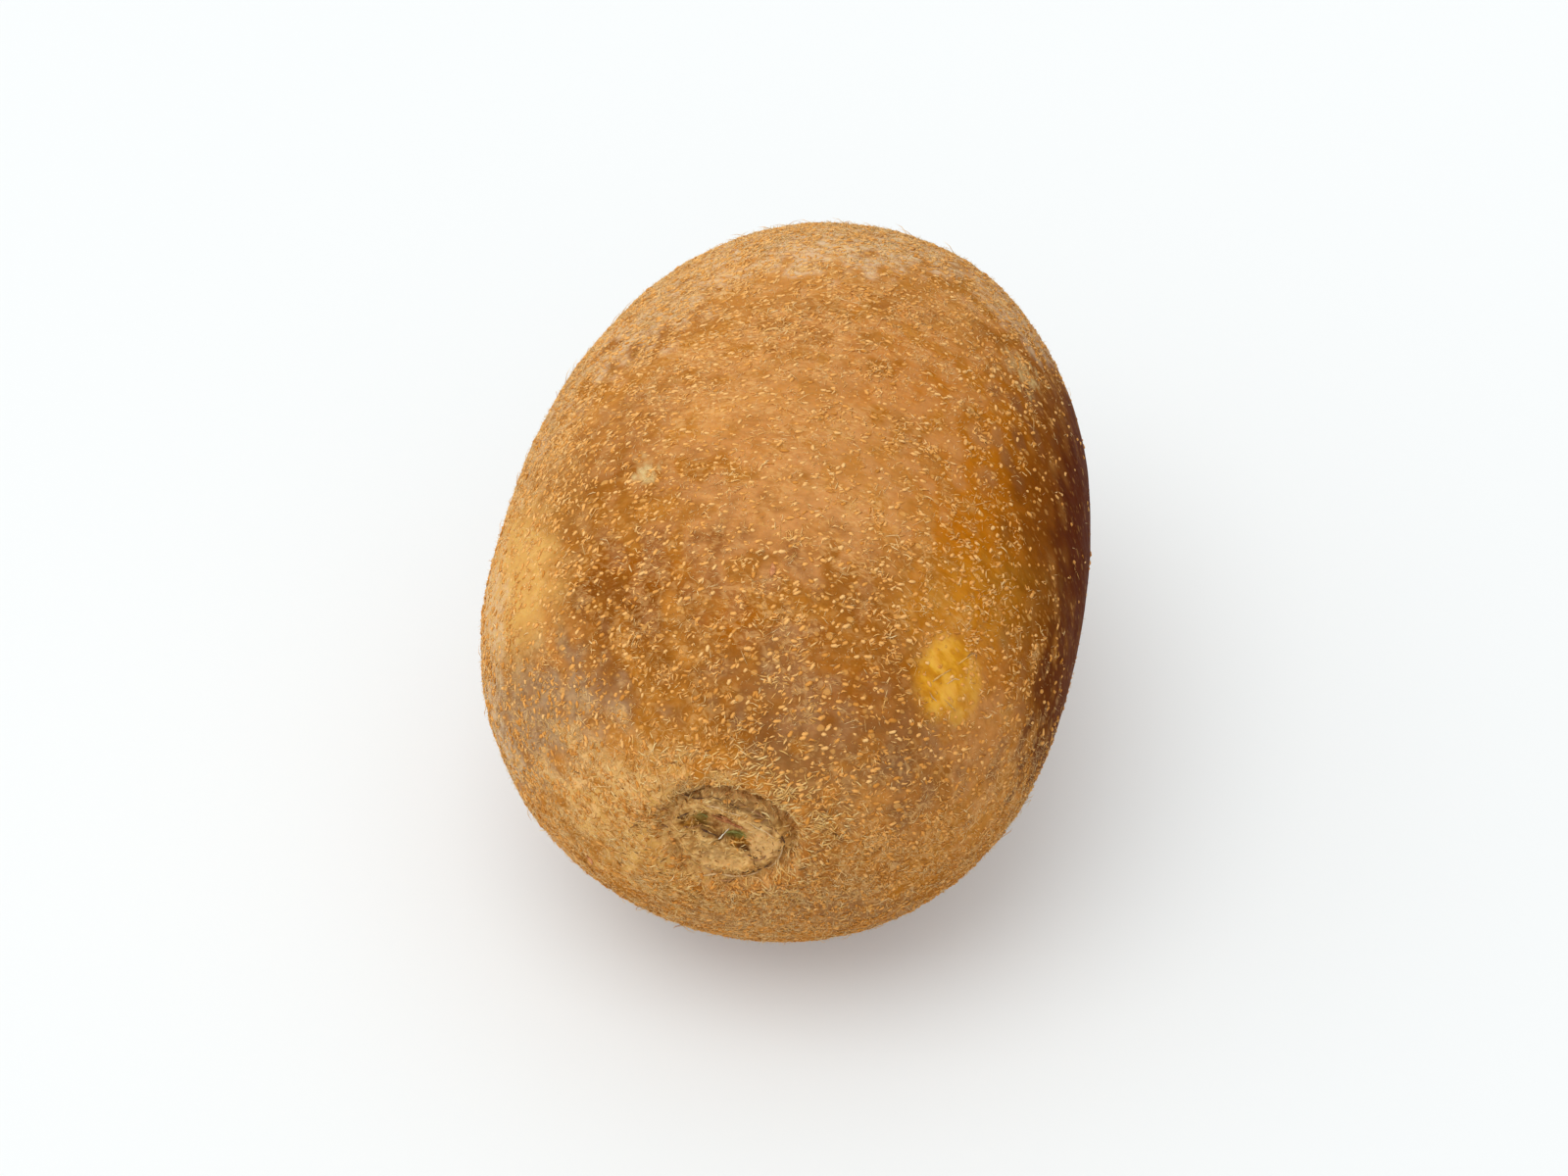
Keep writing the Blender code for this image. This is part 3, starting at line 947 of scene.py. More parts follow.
class NodeBoard:
    """A material's node tree, with a short call for each kind of node that the finishes use."""

    # How much finer than the cells the noise is that moves their outlines
    shift_scale: float = 1.6
    # The darkest and the lightest grey of an overlay
    overlay_greys: Pair = (0.30, 0.70)

    def __init__(self, name: str) -> None:
        """Starts a material with a Principled shader that reads the piece's own coordinates."""
        self.material = bpy.data.materials.new(name)
        self.material.use_nodes = True
        self.tree = self.material.node_tree
        self.shader = self.tree.nodes["Principled BSDF"]
        self.place = self.tree.nodes.new("ShaderNodeTexCoord").outputs["Object"]

    def feed(self, socket: Socket, value: object) -> None:
        """Links a socket to another node's output, or sets it to a plain value."""
        if isinstance(value, Socket):
            self.tree.links.new(value, socket)
        elif isinstance(value, tuple) and socket.type == "RGBA":
            socket.default_value = (*value, 1.0)
        else:
            socket.default_value = value

    def stretched(self, stretch: Triple) -> Socket:
        """The piece's coordinates with each axis multiplied by its own number."""
        node = self.tree.nodes.new("ShaderNodeMapping")
        self.feed(node.inputs["Vector"], self.place)
        node.inputs["Scale"].default_value = stretch
        return node.outputs["Vector"]

    def noise(self, grain: Grain) -> Socket:
        """Fractal noise from about 0 to 1.

        Args:
            grain: The noise's numbers.

        Returns:
            The noise's value, not yet graded.
        """
        node = self.tree.nodes.new("ShaderNodeTexNoise")
        self.feed(node.inputs["Vector"], self.stretched(grain.stretch))
        node.inputs["Scale"].default_value = grain.scale
        node.inputs["Detail"].default_value = grain.detail
        node.inputs["Roughness"].default_value = grain.rough
        node.inputs["Distortion"].default_value = grain.curl
        return node.outputs["Fac"]

    def grained(self, grain: Grain, noise: object = None) -> Socket:
        """A grain's noise, or one that is already there, graded by the grain's band and ends."""
        return self.graded(self.noise(grain) if noise is None else noise, *grain.band, *grain.ends)

    def cells(self, scale: float, stretch: Triple, wander: float) -> tuple[Socket, Socket]:
        """Random cells.

        Args:
            scale: Cells per metre.
            stretch: A further scale for each axis.
            wander: How far noise moves their outlines, in metres.

        Returns:
            The distance from the nearest cell's middle, and that cell's random colour.
        """
        shift = self.tree.nodes.new("ShaderNodeTexNoise")
        self.feed(shift.inputs["Vector"], self.place)
        shift.inputs["Scale"].default_value = self.shift_scale * scale
        moved = self.tree.nodes.new("ShaderNodeVectorMath")
        moved.operation = "MULTIPLY_ADD"
        self.feed(moved.inputs[0], shift.outputs["Color"])
        moved.inputs[1].default_value = (2 * wander,) * 3
        self.feed(moved.inputs[2], self.stretched(stretch))
        node = self.tree.nodes.new("ShaderNodeTexVoronoi")
        self.feed(node.inputs["Vector"], moved.outputs["Vector"])
        node.inputs["Scale"].default_value = scale
        return node.outputs["Distance"], node.outputs["Color"]

    def attribute(self, name: str) -> Socket:
        """A number that the mesh holds at its points."""
        node = self.tree.nodes.new("ShaderNodeAttribute")
        node.attribute_name = name
        return node.outputs["Fac"]

    def tint(self, tint: Tint) -> Socket:
        """How strong a tint is at the mesh's points."""
        return self.attribute(tint.value)

    def graded(
        self, value: object, start: float, end: float, low: object = 0.0, high: object = 1.0
    ) -> Socket:
        """A smooth rise from low to high as the value goes from start to end."""
        node = self.tree.nodes.new("ShaderNodeMapRange")
        node.interpolation_type = "SMOOTHSTEP"
        for socket, number in zip(node.inputs, (value, start, end, low, high)):
            self.feed(socket, number)
        return node.outputs["Result"]

    def sum_of(self, operation: str, first: object, second: object) -> Socket:
        """One step of arithmetic on two numbers."""
        node = self.tree.nodes.new("ShaderNodeMath")
        node.operation = operation
        self.feed(node.inputs[0], first)
        self.feed(node.inputs[1], second)
        return node.outputs["Value"]

    def times(self, first: object, second: object) -> Socket:
        """Two numbers multiplied."""
        return self.sum_of("MULTIPLY", first, second)

    def most(self, first: object, second: object) -> Socket:
        """The larger of two numbers."""
        return self.sum_of("MAXIMUM", first, second)

    def mix(self, share: object, first: object, second: object, blend: str = "MIX") -> Socket:
        """Two colours blended.

        Args:
            share: How much of the blend shows over the first colour.
            first: The colour below.
            second: The colour above.
            blend: Blender's name for how they combine.

        Returns:
            The blended colour.
        """
        node = self.tree.nodes.new("ShaderNodeMix")
        node.data_type = "RGBA"
        node.blend_type = blend
        self.feed(node.inputs[0], share)
        self.feed(node.inputs[6], first)
        self.feed(node.inputs[7], second)
        return node.outputs[2]

    def ramp(self, value: object, stops: Stops) -> Socket:
        """A colour that follows a number.

        Args:
            value: The number, from 0 to 1.
            stops: Places on the way and the colour at each.

        Returns:
            The colour.
        """
        node = self.tree.nodes.new("ShaderNodeValToRGB")
        points = node.color_ramp.elements
        while len(points) < len(stops):
            points.new(0.5)
        for point, (place, colour) in zip(points, stops):
            point.position = place
            point.color = (*colour, 1.0)
        self.feed(node.inputs["Fac"], value)
        return node.outputs["Color"]

    def grey_overlay(
        self, colour: object, value: object, low: float, high: float, share: float
    ) -> Socket:
        """The colour made darker and lighter by a number, around a middle of one half."""
        stops = tuple((place, (grey,) * 3) for place, grey in zip((low, high), self.overlay_greys))
        return self.mix(share, colour, self.ramp(value, stops), "OVERLAY")

    def bump(self, height: object, distance: float, under: object = None) -> Socket:
        """A normal bent by a height.

        Args:
            height: The height, where 1 stands for the distance.
            distance: How high that is, in metres.
            under: Another bump's normal to add this one to.

        Returns:
            The normal.
        """
        node = self.tree.nodes.new("ShaderNodeBump")
        node.inputs["Strength"].default_value = 1.0
        node.inputs["Distance"].default_value = distance
        self.feed(node.inputs["Height"], height)
        if under is not None:
            self.feed(node.inputs["Normal"], under)
        return node.outputs["Normal"]

    def finish(
        self, colour: object, roughness: object, normal: object = None, **sockets: object
    ) -> bpy.types.Material:
        """Feeds the shader.

        Args:
            colour: The base colour.
            roughness: The roughness.
            normal: The bumped normal, if there is one.
            **sockets: Other sockets by name, with _ for a space, set to plain values.

        Returns:
            The material.
        """
        self.feed(self.shader.inputs["Base Color"], colour)
        self.feed(self.shader.inputs["Roughness"], roughness)
        if normal is not None:
            self.feed(self.shader.inputs["Normal"], normal)
        for name, value in sockets.items():
            self.feed(self.shader.inputs[name.replace("_", " ")], value)
        return self.material


@dataclass(frozen=True)
class DotLayer:
    """Pale blunt dots in the skin, each inside its own random cell.

    Attributes:
        scale: Cells per metre.
        largest: The greatest half width, in cells.
        strength: How much of their colour shows.
        least: The least half width, in cells.
        chances: The random numbers from which a dot is the least and the greatest.
        stretch: A further scale for each axis.
        wander: How far noise moves the cells' outlines, in cells.
        edge: How far inside and outside its half width a dot fades, in cells.
    """

    scale: float
    largest: float
    strength: float
    least: float = 0.04
    chances: Pair = (0.2, 0.9)
    stretch: Triple = (1.0, 1.5, 1.0)
    wander: float = 0.16
    edge: Pair = (-0.02, 0.10)


@dataclass(frozen=True)
class SkinFinish:
    """The waxy brown skin under a dull bloom, mottled from deep brown to amber, with a corky scar and patches
    of painted light, shade and sheen.
    """

    base: Stops = (
        (0.0, (0.300, 0.100, 0.010)),
        (0.5, (0.390, 0.140, 0.014)),
        (1.0, (0.490, 0.190, 0.026)),
    )
    haze: Colour = (0.590, 0.265, 0.086)
    bloom: Colour = (0.690, 0.490, 0.300)
    amber: Colour = (0.470, 0.142, 0.003)
    russet: Colour = (0.098, 0.016, 0.001)
    dusky: Colour = (0.255, 0.135, 0.062)
    fuzz: Colour = (0.820, 0.480, 0.180)
    pale: Colour = (0.700, 0.380, 0.100)
    gold: Stops = (
        (0.0, (0.590, 0.235, 0.010)),
        (0.5, (0.740, 0.340, 0.024)),
        (1.0, (0.830, 0.430, 0.060)),
    )
    scab: Colour = (0.680, 0.480, 0.210)
    spots: Stops = (
        (0.0, (0.500, 0.200, 0.028)),
        (0.5, (0.680, 0.300, 0.060)),
        (1.0, (0.820, 0.430, 0.125)),
    )
    disc: Stops = (
        (0.0, (0.430, 0.205, 0.055)),
        (0.45, (0.620, 0.340, 0.105)),
        (1.0, (0.800, 0.500, 0.190)),
    )
    cork: Colour = (0.700, 0.410, 0.155)
    rust: Colour = (0.380, 0.150, 0.015)
    olive: Colour = (0.205, 0.175, 0.034)
    umber: Colour = (0.120, 0.045, 0.011)

    mottle: Grain = Grain(115.0, 4.0, 0.6, band=(0.33, 0.67))
    wild_amber: Grain = Grain(60.0, band=(0.50, 0.72), ends=(0.0, 0.55))
    wild_haze: Grain = Grain(75.0, band=(0.42, 0.70), ends=(0.05, 0.40))
    wild_felt: Grain = Grain(210.0, band=(0.40, 0.70), ends=(0.05, 0.50))
    # These two grains break up the haze with its painted highlight, and the bloom with its painted rim of
    # sheen.
    haze_and_highlight_grain: Grain = Grain(520.0, 3.0, 0.6, band=(0.32, 0.62), ends=(0.55, 1.0))
    bloom_and_sheen_grain: Grain = Grain(760.0, 4.0, 0.65, (1.0, 1.6, 1.0), band=(0.36, 0.60), ends=(0.20, 1.0))
    streaks: Grain = Grain(420.0, 3.0, 0.6, (1.0, 2.2, 1.0), band=(0.35, 0.65))
    greys: Grain = Grain(900.0, 3.0, 0.65, (1.0, 1.9, 1.0), band=(0.32, 0.68))
    felt: Grain = Grain(1300.0, 3.0, 0.62, (1.0, 1.7, 1.0), 0.9, (0.46, 0.63), (0.0, 0.85))
    crumb: Grain = Grain(2300.0, 3.0, 0.7, band=(0.30, 0.60), ends=(0.65, 1.0), height=0.18 * MM)
    fibre: Grain = Grain(1200.0, 4.0, 0.68, (1.0, 1.0, 1.6), band=(0.34, 0.66), height=0.26 * MM)
    crackle: Grain = Grain(
        620.0, 4.0, 0.6, (1.0, 1.9, 1.0), band=(0.30, 0.75), ends=(0.46, 0.60), height=0.10 * MM
    )

    # How much of the wild haze and felt is left where the skin is deep amber, or russet and painted shade
    deep_share: float = 0.12
    # The mottling's band over which the amber gains strength, and its strength at both ends
    amber_lift: tuple[float, float, float, float] = (0.0, 0.7, 0.75, 1.0)
    grey_share: float = 0.30
    dot_layers: tuple[DotLayer, ...] = (DotLayer(860.0, 0.34, 0.70), DotLayer(1500.0, 0.38, 0.55))
    dot_height: float = 0.06 * MM
    # How far each tint covers the dots
    dot_covers: tuple[tuple[Tint, float], ...] = (
        (Tint.RUSSET, 0.75),
        (Tint.PALE, 0.50),
        (Tint.HAZE, 0.85),
    )
    disc_roughness: float = 0.72

    def body_colour(self, board: NodeBoard) -> Socket:
        """The skin's colour over the body: mottling, the tinted patches with their painted shade and
        highlight, a patchy bloom with a painted rim of sheen, and a woolly felt.

        Args:
            board: The material's nodes.

        Returns:
            The colour.
        """
        mottle = board.grained(self.mottle)
        colour = board.ramp(mottle, self.base)
        deep = board.most(board.tint(Tint.AMBER), board.tint(Tint.RUSSET))
        shallow = board.graded(deep, 0.0, 1.0, 1.0, self.deep_share)
        amber = board.most(board.tint(Tint.AMBER), board.grained(self.wild_amber))
        lifted = board.times(amber, board.graded(mottle, *self.amber_lift))
        colour = board.mix(lifted, colour, self.amber)
        # The haze is in part painted highlight on the crown and painted sheen along the top outline.
        haze = board.most(board.tint(Tint.HAZE), board.times(board.grained(self.wild_haze), shallow))
        colour = board.mix(board.times(haze, board.grained(self.haze_and_highlight_grain)), colour, self.haze)
        # The russet and dusky patches are in part painted shade, and a pale patch by the scar is painted
        # light.
        for tint, over in ((Tint.RUSSET, self.russet), (Tint.DUSKY, self.dusky), (Tint.PALE, self.pale)):
            colour = board.mix(board.tint(tint), colour, over)
        # Along the outline the bloom is a painted rim of sheen.
        bloom = board.times(board.tint(Tint.BLOOM), board.grained(self.bloom_and_sheen_grain))
        colour = board.mix(bloom, colour, self.bloom)
        streaks = board.ramp(board.grained(self.streaks), self.gold)
        colour = board.mix(board.tint(Tint.GOLD), colour, streaks)
        colour = board.grey_overlay(colour, board.noise(self.greys), *self.greys.band, self.grey_share)
        thick = board.most(board.tint(Tint.FUZZ), board.times(board.grained(self.wild_felt), shallow))
        return board.mix(board.times(thick, board.grained(self.felt)), colour, self.fuzz)

    def scar_colour(self, board: NodeBoard, colour: object, fibre: object) -> Socket:
        """The stem scar's colours over the skin's: a fibrous disc with cork, green, rust and dark bits, with
        painted shade in its sunken ring and painted light on the ring's arc.

        Args:
            board: The material's nodes.
            colour: The skin's colour.
            fibre: The fibrous noise that the relief shares.

        Returns:
            The colour.
        """
        disc = board.ramp(board.grained(self.fibre, fibre), self.disc)
        colour = board.mix(board.attribute(SCAR_DISC), colour, disc)
        for tint, over in (
            (Tint.CORK, self.cork),
            (Tint.RUST, self.rust),
            (Tint.OLIVE, self.olive),
            (Tint.UMBER, self.umber),
        ):
            colour = board.mix(board.tint(tint), colour, over)
        return colour

    def dots(self, board: NodeBoard, layer: DotLayer) -> tuple[Socket, Socket]:
        """The dots of one layer, of uneven size.

        Args:
            board: The material's nodes.
            layer: The layer's numbers.

        Returns:
            The mask of the dots, and a random number for each.
        """
        distance, chance = board.cells(layer.scale, layer.stretch, layer.wander / layer.scale)
        size = board.graded(chance, *layer.chances, layer.least, layer.largest)
        return board.graded(board.sum_of("SUBTRACT", size, distance), *layer.edge), chance

    def material(self) -> bpy.types.Material:
        """Builds the material.

        Returns:
            The skin's material, which reads the mesh's tints and scar mask.
        """
        board = NodeBoard(SLOT)
        disc = board.attribute(SCAR_DISC)
        colour = self.body_colour(board)
        covered = disc
        for tint, share in self.dot_covers:
            covered = board.most(covered, board.times(board.tint(tint), share))
        clear = board.sum_of("SUBTRACT", 1.0, covered)
        pores = 0.0
        for layer in self.dot_layers:
            mask, chance = self.dots(board, layer)
            mask = board.times(mask, clear)
            colour = board.mix(board.times(mask, layer.strength), colour, board.ramp(chance, self.spots))
            pores = board.most(pores, mask)
        crumb = board.noise(self.crumb)
        scab = board.times(board.tint(Tint.SCAB), board.grained(self.crumb, crumb))
        colour = board.mix(scab, colour, self.scab)
        fibre = board.noise(self.fibre)
        colour = self.scar_colour(board, colour, fibre)
        crackle = board.noise(self.crackle)
        normal = board.bump(crackle, self.crackle.height)
        normal = board.bump(pores, self.dot_height, normal)
        normal = board.bump(board.times(crumb, scab), self.crumb.height, normal)
        normal = board.bump(board.times(fibre, disc), self.fibre.height, normal)
        roughness = board.grained(self.crackle, crackle)
        return board.finish(
            colour,
            board.most(roughness, board.times(disc, self.disc_roughness)),
            normal,
            IOR=1.20,
            Specular_IOR_Level=0.02,
            Subsurface_Weight=0.10,
            Subsurface_Radius=(1.0, 0.35, 0.12),
            Subsurface_Scale=1.2 * MM,
        )


@dataclass(frozen=True)
class HairFinish:
    """Dry plant hair. The map's first number picks a hair's shade and its second goes from root to tip."""

    name: str
    shades: Stops
    # How dark the root is, and how far from it the full shade starts
    root_shade: float = 0.85
    lit_from: float = 0.5
    roughness: float = 0.55

    def material(self) -> bpy.types.Material:
        """Builds the material.

        Returns:
            A material whose colour is a ramp along the map, darkened towards the root.
        """
        board = NodeBoard(self.name)
        lookup = board.tree.nodes.new("ShaderNodeUVMap")
        lookup.uv_map = BAKE_MAP
        parts = board.tree.nodes.new("ShaderNodeSeparateXYZ")
        board.feed(parts.inputs["Vector"], lookup.outputs["UV"])
        colour = board.ramp(parts.outputs["X"], self.shades)
        darkened = ((0.0, (self.root_shade,) * 3), (self.lit_from, (1.0,) * 3))
        shade = board.ramp(parts.outputs["Y"], darkened)
        return board.finish(
            board.mix(1.0, colour, shade, "MULTIPLY"),
            self.roughness,
            IOR=1.3,
            Specular_IOR_Level=0.12,
        )


FLECK_SHADES: Stops = (
    (0.0, (0.460, 0.170, 0.022)),
    (0.35, (0.660, 0.275, 0.050)),
    (0.65, (0.820, 0.400, 0.105)),
    (1.0, (0.900, 0.540, 0.205)),
)
DOWN_SHADES: Stops = (
    (0.0, (0.420, 0.170, 0.030)),
    (0.35, (0.680, 0.325, 0.078)),
    (0.65, (0.830, 0.470, 0.150)),
    (1.0, (0.920, 0.680, 0.340)),
)
FIBRE_SHADES: Stops = (
    (0.0, (0.210, 0.090, 0.026)),
    (0.30, (0.520, 0.258, 0.070)),
    (0.60, (0.820, 0.480, 0.145)),
    (1.0, (0.920, 0.680, 0.310)),
)


@dataclass(frozen=True)
class SpindlePlan:
    """One hair's make: its sides, the place and size of its rings, its flatness and its bow."""

    sides: int
    ring_places: tuple[float, ...]
    ring_sizes: tuple[float, ...]
    flatness: float
    bow: float
    capped: bool

    def faces(self) -> np.ndarray:
        """The triangles of one hair: bands between the rings, a fan to the tip, and a cap or fan at the root.

        Returns:
            Point numbers: the rings first, then the tip, then the root's point if the root isn't capped.
        """
        rings, sides = len(self.ring_places), self.sides
        after = [(k + 1) % sides for k in range(sides)]
        tip = rings * sides
        faces = []
        for low in range(0, (rings - 1) * sides, sides):
            for k in range(sides):
                faces.append((low + k, low + after[k], low + sides + after[k]))
                faces.append((low + k, low + sides + after[k], low + sides + k))
        faces += [(tip - sides + k, tip - sides + after[k], tip) for k in range(sides)]
        if self.capped:
            faces += [(0, k + 1, k) for k in range(1, sides - 1)]
        else:
            faces += [(after[k], k, tip + 1) for k in range(sides)]
        return np.array(faces)

    def places(self) -> np.ndarray:
        """How far along the hair each of its points is, from 0 at the root to 1 at the tip."""
        rings = np.repeat(self.ring_places, self.sides)
        return np.concatenate([rings, [1.0] if self.capped else [1.0, 0.0]])

    def points(
        self,
        roots: np.ndarray,
        ways: np.ndarray,
        normals: np.ndarray,
        lengths: np.ndarray,
        radii: np.ndarray,
        curls: np.ndarray,
    ) -> np.ndarray:
        """The points of many hairs.

        Each ring's centre is on the line from the root, moved by a sine bow upwards and another sideways,
        and its points are set round it in the plane square to the line, closer together across the skin's
        normal if the hair is flat.

        Args:
            roots: Where each hair starts.
            ways: Its direction.
            normals: The skin's normal at its root.
            lengths: Its length.
            radii: Its greatest half width.
            curls: How far it bows sideways, in shares of its length.

        Returns:
            An array of hairs by points by 3.
        """
        side = unit(np.cross(ways, normals))
        other = np.cross(ways, side)
        columns = []
        for place, size in zip(self.ring_places, self.ring_sizes):
            bow = math.sin(math.pi * place)
            lean = normals * (self.bow * bow) + side * (curls * bow)[:, None]
            centre = roots + (ways * place + lean) * lengths[:, None]
            for corner in range(self.sides):
                turn = 2 * math.pi * corner / self.sides
                offset = side * math.cos(turn) + other * (math.sin(turn) * self.flatness)
                columns.append(centre + offset * (size * radii)[:, None])
        columns.append(roots + ways * lengths[:, None])
        if not self.capped:
            columns.append(roots)
        return np.stack(columns, axis=1)


class HairShape(Enum):
    """The makes of hair on the fruit."""

    # Sides, places and sizes of the rings, flatness, bow, and whether the root is capped
    SEED = SpindlePlan(4, (0.20, 0.70), (0.85, 1.0), 0.55, 0.10, False)
    BENT = SpindlePlan(3, (0.0, 0.55), (1.0, 0.85), 1.0, 0.09, True)
    CURL = SpindlePlan(3, (0.0, 0.30, 0.68), (0.9, 1.0, 0.7), 1.0, 0.07, True)
    SPIKE = SpindlePlan(3, (0.0,), (1.0,), 1.0, 0.0, True)


@dataclass(frozen=True)
class HairHabit:
    """How all the hairs grow and lie.

    Attributes:
        stem_bell: The centre and width of the thicker growth about the scar.
        blossom_bell: The same about the blossom end.
        clump_lengths: The wavelengths of the clumps.
        size_bias: The two powers of the beta draw of the sizes, which make most hairs short.
        stoutness: How much of the width comes from the size, and as much from chance.
        root_gap: The least height of a root above the ground.
        tip_gap: The least height of a tip.
        most_shade: The highest place on the ramp of shades.
        map_width: How wide a hair is on the bake map.
        turn: The turn from the way round the body, in radians.
        sweep: How much more it turns towards +X, over sweep_reach.
        wander: How much it varies over the skin, in waves of wander_length.
        parting_reach: How far from the scar the hairs still turn away from it.
        side_length: How broad the patches are whose hairs point one way or the other.
        side_chance: How often a hair points against its patch.
    """

    stem_bell: Pair = (6.0 * MM, 6.0 * MM)
    blossom_bell: Pair = (2.0 * MM, 7.0 * MM)
    clump_lengths: Pair = (5.5 * MM, 2.0 * MM)
    size_bias: Pair = (1.6, 3.0)
    stoutness: float = 0.6
    root_gap: float = 0.12 * MM
    tip_gap: float = 0.10 * MM
    most_shade: float = 0.95
    map_width: float = 0.05
    turn: float = 0.48
    sweep: float = 0.45
    sweep_reach: float = 25.0 * MM
    wander: float = 0.28
    wander_length: float = 16.0 * MM
    parting_reach: float = 9.5 * MM
    side_length: float = 25.0 * MM
    side_chance: float = 0.6


@dataclass(frozen=True)
class HairGrowth:
    """One growth of hairs over the skin, made as one mesh.

    Attributes:
        count: How many hairs are drawn, before the spacing and the ground take some away.
        lengths: The least and the greatest length.
        widths: The least and the greatest width.
        lift_degrees: The least and the greatest angle off the skin.
        shade: The middle place on the ramp of shades, at the fruit's half height.
        shade_spread: How much that varies from hair to hair.
        painted_top_light: How much higher on the ramp the hairs at the fruit's top are, which paints light
            from above on them.
        stray: How much their direction varies, in radians.
        curl: How much they bow sideways, in shares of their length.
        clumping: How unevenly they grow.
        end_density: How much thicker they grow by the two ends.
        fuzz_density: How much thicker they grow where the skin is fuzzy.
        spacing: The side of the cube that holds only one of them, or 0.
        sink: How deep their roots are in the skin.
    """

    name: str
    shape: HairShape
    count: int
    seed: int
    lengths: Pair
    widths: Pair
    lift_degrees: Pair
    shades: Stops = FLECK_SHADES
    shade: float = 0.6
    shade_spread: float = 0.12
    painted_top_light: float = 0.0
    stray: float = 0.45
    curl: float = 0.0
    clumping: float = 0.3
    end_density: float = 1.0
    fuzz_density: float = 0.0
    tuft_size: int = 1
    tuft_spread: float = 0.12 * MM
    spacing: float = 0.0
    sink: float = 0.04 * MM
    habit: HairHabit = HairHabit()

    def density(self, grid: SkinGrid, bare: np.ndarray, fuzz: np.ndarray) -> np.ndarray:
        """How thickly the hairs grow: a clumpy random field, more by the two ends, less where bare.

        Args:
            grid: The skin's grid.
            bare: How bare the skin is at each grid point, from 0 to 1.
            fuzz: How fuzzy it is.

        Returns:
            The relative density at each grid point.
        """
        near_stem = bell(grid.scar_radius(), *self.habit.stem_bell)
        near_end = near_stem + bell(grid.blossom_radius(), *self.habit.blossom_bell)
        clumps = sum(
            WaveNoise(self.seed + number, length).at(grid.points)
            for number, length in enumerate(self.habit.clump_lengths, 1)
        )
        growth = 1 + self.end_density * near_end + self.fuzz_density * fuzz
        return np.exp(self.clumping * clumps) * growth * (1 - bare)

    def spaced(self, places: np.ndarray) -> np.ndarray:
        """The numbers of the places left when each small cube of space keeps only one of them."""
        if not self.spacing:
            return np.arange(len(places))
        cubes = np.floor(places / self.spacing).astype(np.int64)
        return np.sort(np.unique(cubes, axis=0, return_index=True)[1])

    def ways(
        self,
        places: np.ndarray,
        normals: np.ndarray,
        rounds: np.ndarray,
        radius: np.ndarray,
        draw: np.random.Generator,
    ) -> np.ndarray:
        """The direction of each hair.

        It starts from the way round the body, and is turned in the skin by a steady angle, one that grows
        with x, a random field, a bell of the distance from the scar, and chance. Then it is lifted.

        Args:
            places: The roots.
            normals: The skin's normals there.
            rounds: The directions round the body there.
            radius: The distances from the stem scar's middle.
            draw: The seeded source of chance.

        Returns:
            Unit vectors.
        """
        habit, count = self.habit, len(places)
        across = np.cross(normals, rounds)
        combed = habit.wander * WaveNoise(self.seed + 3, habit.wander_length).at(places)
        swept = habit.turn + habit.sweep * places[:, 0] / habit.sweep_reach
        parted = bell(radius, 0.0, habit.parting_reach)
        turn = combed + swept + parted + self.stray * draw.normal(size=count)
        patches = WaveNoise(self.seed + 4, habit.side_length).at(places)
        side = np.sign(patches + habit.side_chance * draw.normal(size=count))
        lift = np.radians(draw.uniform(*self.lift_degrees, count))
        flat = (rounds * np.cos(turn)[:, None] + across * np.sin(turn)[:, None]) * side[:, None]
        return unit(flat * np.cos(lift)[:, None] + normals * np.sin(lift)[:, None])

    def sizes(
        self, count: int, draw: np.random.Generator
    ) -> tuple[np.ndarray, np.ndarray, np.ndarray]:
        """The size of each hair: most are short, and the long ones are mostly the wide ones.

        Args:
            count: How many hairs.
            draw: The seeded source of chance.

        Returns:
            The lengths, the greatest half widths, and the bows sideways in shares of the length.
        """
        size = draw.beta(*self.habit.size_bias, count)
        stout = self.habit.stoutness * size + self.habit.stoutness * draw.random(count)
        lengths = self.lengths[0] + (self.lengths[1] - self.lengths[0]) * size
        radii = (self.widths[0] + (self.widths[1] - self.widths[0]) * stout) / 2
        return lengths, radii, self.curl * draw.normal(size=count)

    def corner_map(
        self, heights: np.ndarray, faces: np.ndarray, draw: np.random.Generator
    ) -> np.ndarray:
        """The places on the bake map: a hair's shade across, and the way from its root to its tip along.

        Args:
            heights: The height of each root above the ground.
            faces: The triangles of one hair.
            draw: The seeded source of chance.

        Returns:
            A place for each corner of each hair's triangles.
        """
        # Hairs higher on the fruit take paler shades and lower ones darker: painted light from above.
        shade = self.shade + self.painted_top_light * (heights / HALF_HEIGHT - 1)
        shade = shade + self.shade_spread * draw.normal(size=len(heights))
        shade = np.clip(shade, 0.0, self.habit.most_shade)
        across = shade[:, None, None] + self.habit.map_width * np.array([0.0, 0.5, 1.0])
        along = self.shape.value.places()[faces][None]
        shape = (len(heights), *faces.shape)
        return np.stack([np.broadcast_to(part, shape) for part in (across, along)], axis=-1)

